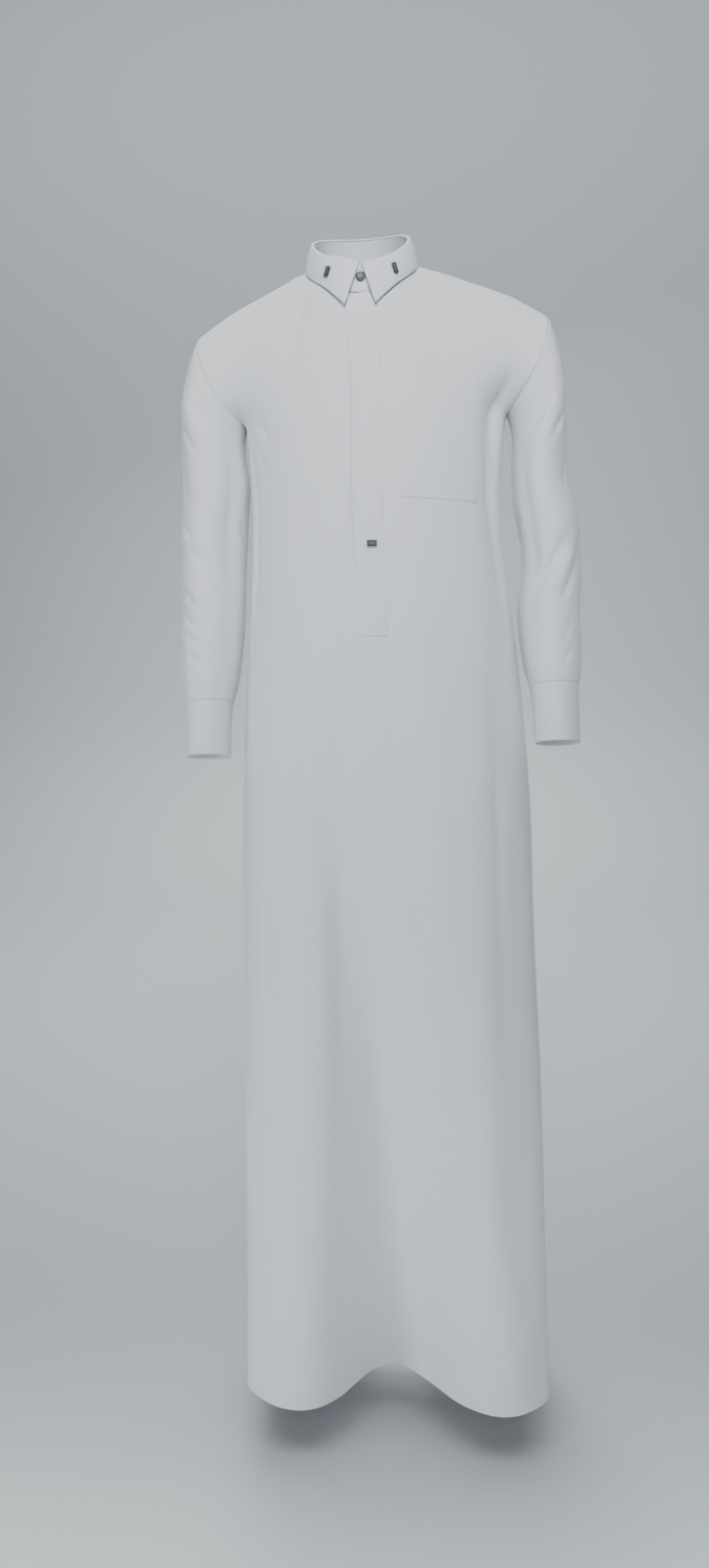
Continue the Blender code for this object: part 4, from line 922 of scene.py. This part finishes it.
def seat_of(node):
    """Where a small solid sits: the frame of its underside, with its longer side upright, and its sizes."""
    solid = bmesh.new()
    solid.from_mesh(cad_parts[node].data)
    bmesh.ops.remove_doubles(solid, verts=solid.verts, dist=0.00001)
    points = np.array([tuple(vertex.co) for vertex in solid.verts])
    solid.free()
    axes = np.linalg.eigh(np.cov((points - points.mean(0)).T))[1]
    outward, upright = Vector(axes[:, 0]), Vector(axes[:, 2])
    outward *= -math.copysign(1, outward.y)
    upright *= math.copysign(1, upright.z + 0.001)
    across = upright.cross(outward)
    spans = [(float((points @ np.array(axis)).min()), float((points @ np.array(axis)).max()))
             for axis in (across, upright, outward)]
    middle = across * sum(spans[0]) / 2 + upright * sum(spans[1]) / 2 + outward * spans[2][0]
    seat = Matrix((across, upright, outward)).transposed().to_4x4()
    seat.translation = middle
    return seat, [high - low for low, high in spans]


def fastening(name, shape, seat, materials, node):
    """Put a small turned or pressed piece on its seat, in place of its solid."""
    bmesh.ops.recalc_face_normals(shape, faces=shape.faces)
    bmesh.ops.transform(shape, matrix=seat, verts=shape.verts)
    mesh = as_mesh(shape, name)
    for material in materials:
        mesh.materials.append(material)
    mesh.shade_smooth()
    mesh.set_sharp_from_angle(angle=math.radians(40))
    piece = placed(name, mesh)
    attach(piece, "root")
    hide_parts(node)
    return piece


seat, (width, length, height) = seat_of("neck_button")
radius = (width + length) / 4
ring = bmesh.new()
profile = [ring.verts.new((share * radius, 0, level * height)) for share, level in BUTTON_RING]
edges = [ring.edges.new(pair) for pair in zip(profile, profile[1:])]
bmesh.ops.spin(ring, geom=profile + edges, cent=(0, 0, 0), axis=(0, 0, 1), angle=2 * math.pi, steps=48,
               use_merge=True)
bmesh.ops.remove_doubles(ring, verts=ring.verts, dist=0.00001)
for face in ring.faces:
    middle = face.calc_center_median()
    face.material_index = int(middle.z > 0.3 * height and math.hypot(middle.x, middle.y) < 0.66 * radius)
button = fastening("neck_button_horn", ring, seat, [dark_enamel, light_band], "neck_button")
holes = bmesh.new()
for x in (-1, 1):
    for y in (-1, 1):
        place = Matrix.Translation((x * HOLE_PLACE, y * HOLE_PLACE, height / 2))
        bmesh.ops.create_cone(holes, cap_ends=True, segments=16, radius1=BUTTON_HOLE, radius2=BUTTON_HOLE,
                              depth=4 * height, matrix=place)
bmesh.ops.transform(holes, matrix=seat, verts=holes.verts)
drill = placed("button drill", as_mesh(holes, "button drill"))
drilled = button.modifiers.new("holes", "BOOLEAN")
drilled.object, drilled.operation = drill, "DIFFERENCE"
button.data = bpy.data.meshes.new_from_object(button.evaluated_get(bpy.context.evaluated_depsgraph_get()))
button.modifiers.clear()
bpy.data.objects.remove(drill)
sewing = []
for y in (-HOLE_PLACE, HOLE_PLACE):
    for shift in (-THREAD_APART, THREAD_APART):
        level = height * 0.62 + 0.0002
        sewing.append([(seat @ Vector((x, y + shift, level)), seat.to_3x3() @ Vector((0, 0, 1)))
                       for x in (-0.0016, 0, 0.0016)])
stitched("neck_button_thread", sewing, dark_thread)

for node in ("placket_stud", "collar_stud_left", "collar_stud_right"):
    seat, (width, length, height) = seat_of(node)
    block = bmesh.new()
    bmesh.ops.create_cube(block, size=1)
    bmesh.ops.translate(block, verts=block.verts, vec=(0, 0, 0.5))
    bmesh.ops.scale(block, verts=block.verts, vec=(width, length, height))
    uprights = [edge for edge in block.edges if abs(edge.verts[0].co.z - edge.verts[1].co.z) > height / 2]
    bmesh.ops.bevel(block, geom=uprights, offset=STUD_CORNER, segments=4, profile=0.5, affect="EDGES",
                    material=-1)
    rims = [edge for edge in block.edges if all(vertex.co.z > height * 0.9 for vertex in edge.verts)]
    bmesh.ops.bevel(block, geom=rims, offset=STUD_RIM, segments=4, profile=0.5, affect="EDGES",
                    material=-1)
    top = max(block.faces, key=lambda face: face.calc_center_median().z)
    bmesh.ops.inset_region(block, faces=[top], thickness=STUD_FRAME)
    bmesh.ops.inset_region(block, faces=[top], thickness=BAND_EDGE, depth=-BAND_DEPTH)
    top.material_index = 1
    fastening(f"{node}_enamel", block, seat, [dark_enamel, light_band], node)


# ---------------------------------------------------------------- floor, light and camera
# A plain pale floor that sweeps up behind the robe into a wall, soft lights on the chest, the skirt, the
# floor, the wall and from behind, and the camera in front at the height of the waist.

FLOOR_LEVEL = -1.565
FLOOR_SWEEP = ((0, 11.4, 0), (0, 0.55, 0.10), (0, 0.45, 0.35), (0, 0.15, 0.60), (0, 0.05, 5.5))
FLOOR_COLOUR = (0.575, 0.61, 0.635, 1)
ROOM_COLOUR, ROOM_STRENGTH = (0.80, 0.84, 0.86, 1), 0.15
CAMERA_PLACE = (0.1197, -1.546, -0.410)
CAMERA_TURN = (6.0, 8.6, 2.0)   # to its left, down, and tilted, in degrees
FOCAL_PIXELS = 1202             # focal length, in pixels of a frame 723 wide and 1600 high
SENSOR = 36

sweep = bmesh.new()
near_edge = [sweep.verts.new((x, -9.0, FLOOR_LEVEL)) for x in (-9.0, 9.0)]
rim = sweep.edges.new(near_edge)
for move in FLOOR_SWEEP:
    strip = bmesh.ops.extrude_edge_only(sweep, edges=[rim])["geom"]
    moved = [item for item in strip if isinstance(item, bmesh.types.BMVert)]
    bmesh.ops.translate(sweep, verts=moved, vec=move)
    rim = next(item for item in strip if isinstance(item, bmesh.types.BMEdge))
floor_mesh = as_mesh(sweep, "floor")
floor_mesh.shade_smooth()
floor = placed("floor", floor_mesh)
curve = floor.modifiers.new("curve", "SUBSURF")
curve.levels = curve.render_levels = 3
floor_paint, nodes, links = plain_finish("pale floor")
with_values(nodes["Principled BSDF"], {"Base Color": FLOOR_COLOUR, "Roughness": 0.8})
floor_mesh.materials.append(floor_paint)

room = bpy.data.worlds.new("room")
room.use_nodes = True
with_values(room.node_tree.nodes["Background"], {"Color": ROOM_COLOUR, "Strength": ROOM_STRENGTH})
bpy.context.scene.world = room


def soft_light(name, place, aim, size, power, spread):
    lamp = bpy.data.lights.new(name, "AREA")
    lamp.shape, lamp.size, lamp.size_y, lamp.energy = "RECTANGLE", size[0], size[1], power
    lamp.spread = math.radians(spread)
    light = placed(name, lamp)
    light.location = place
    light.rotation_euler = (Vector(aim) - Vector(place)).to_track_quat("-Z", "Y").to_euler()


soft_light("chest light", (0.35, -2.9, 1.65), (0, 0, 0.13), (2.0, 1.1), 11.3, 38)
soft_light("skirt light", (-2.2, -1.75, -1.15), (0, 0, -1.12), (1.0, 1.2), 4.5, 60)
soft_light("front fill", (0.9, -3.0, -0.6), (0, 0, -1.5), (1.8, 1.0), 2.2, 60)
soft_light("floor light", (0.3, -0.9, -0.6), (0.3, -0.9, FLOOR_LEVEL), (2.6, 1.3), 13, 70)
soft_light("wall light", (-0.3, 1.4, 2.4), (-0.2, 3.4, -0.8), (5.0, 1.0), 86, 180)
soft_light("back light", (-0.6, 2.4, 1.6), (0, 0, -0.7), (1.8, 1.8), 50, 180)

camera_data = bpy.data.cameras.new("camera")
camera_data.sensor_width = SENSOR
camera_data.lens = FOCAL_PIXELS * SENSOR / 1600
camera = placed("camera", camera_data)
yaw, pitch, roll = (math.radians(angle) for angle in CAMERA_TURN)
ahead = Vector((-math.sin(yaw) * math.cos(pitch), math.cos(yaw) * math.cos(pitch), -math.sin(pitch)))
level = Vector((math.cos(yaw), math.sin(yaw), 0))
upward = level.cross(ahead)
right = level * math.cos(roll) - upward * math.sin(roll)
top = level * math.sin(roll) + upward * math.cos(roll)
turn = Matrix((right, top, -ahead)).transposed().to_4x4()
camera.matrix_world = Matrix.Translation(CAMERA_PLACE) @ turn
bpy.context.scene.camera = camera
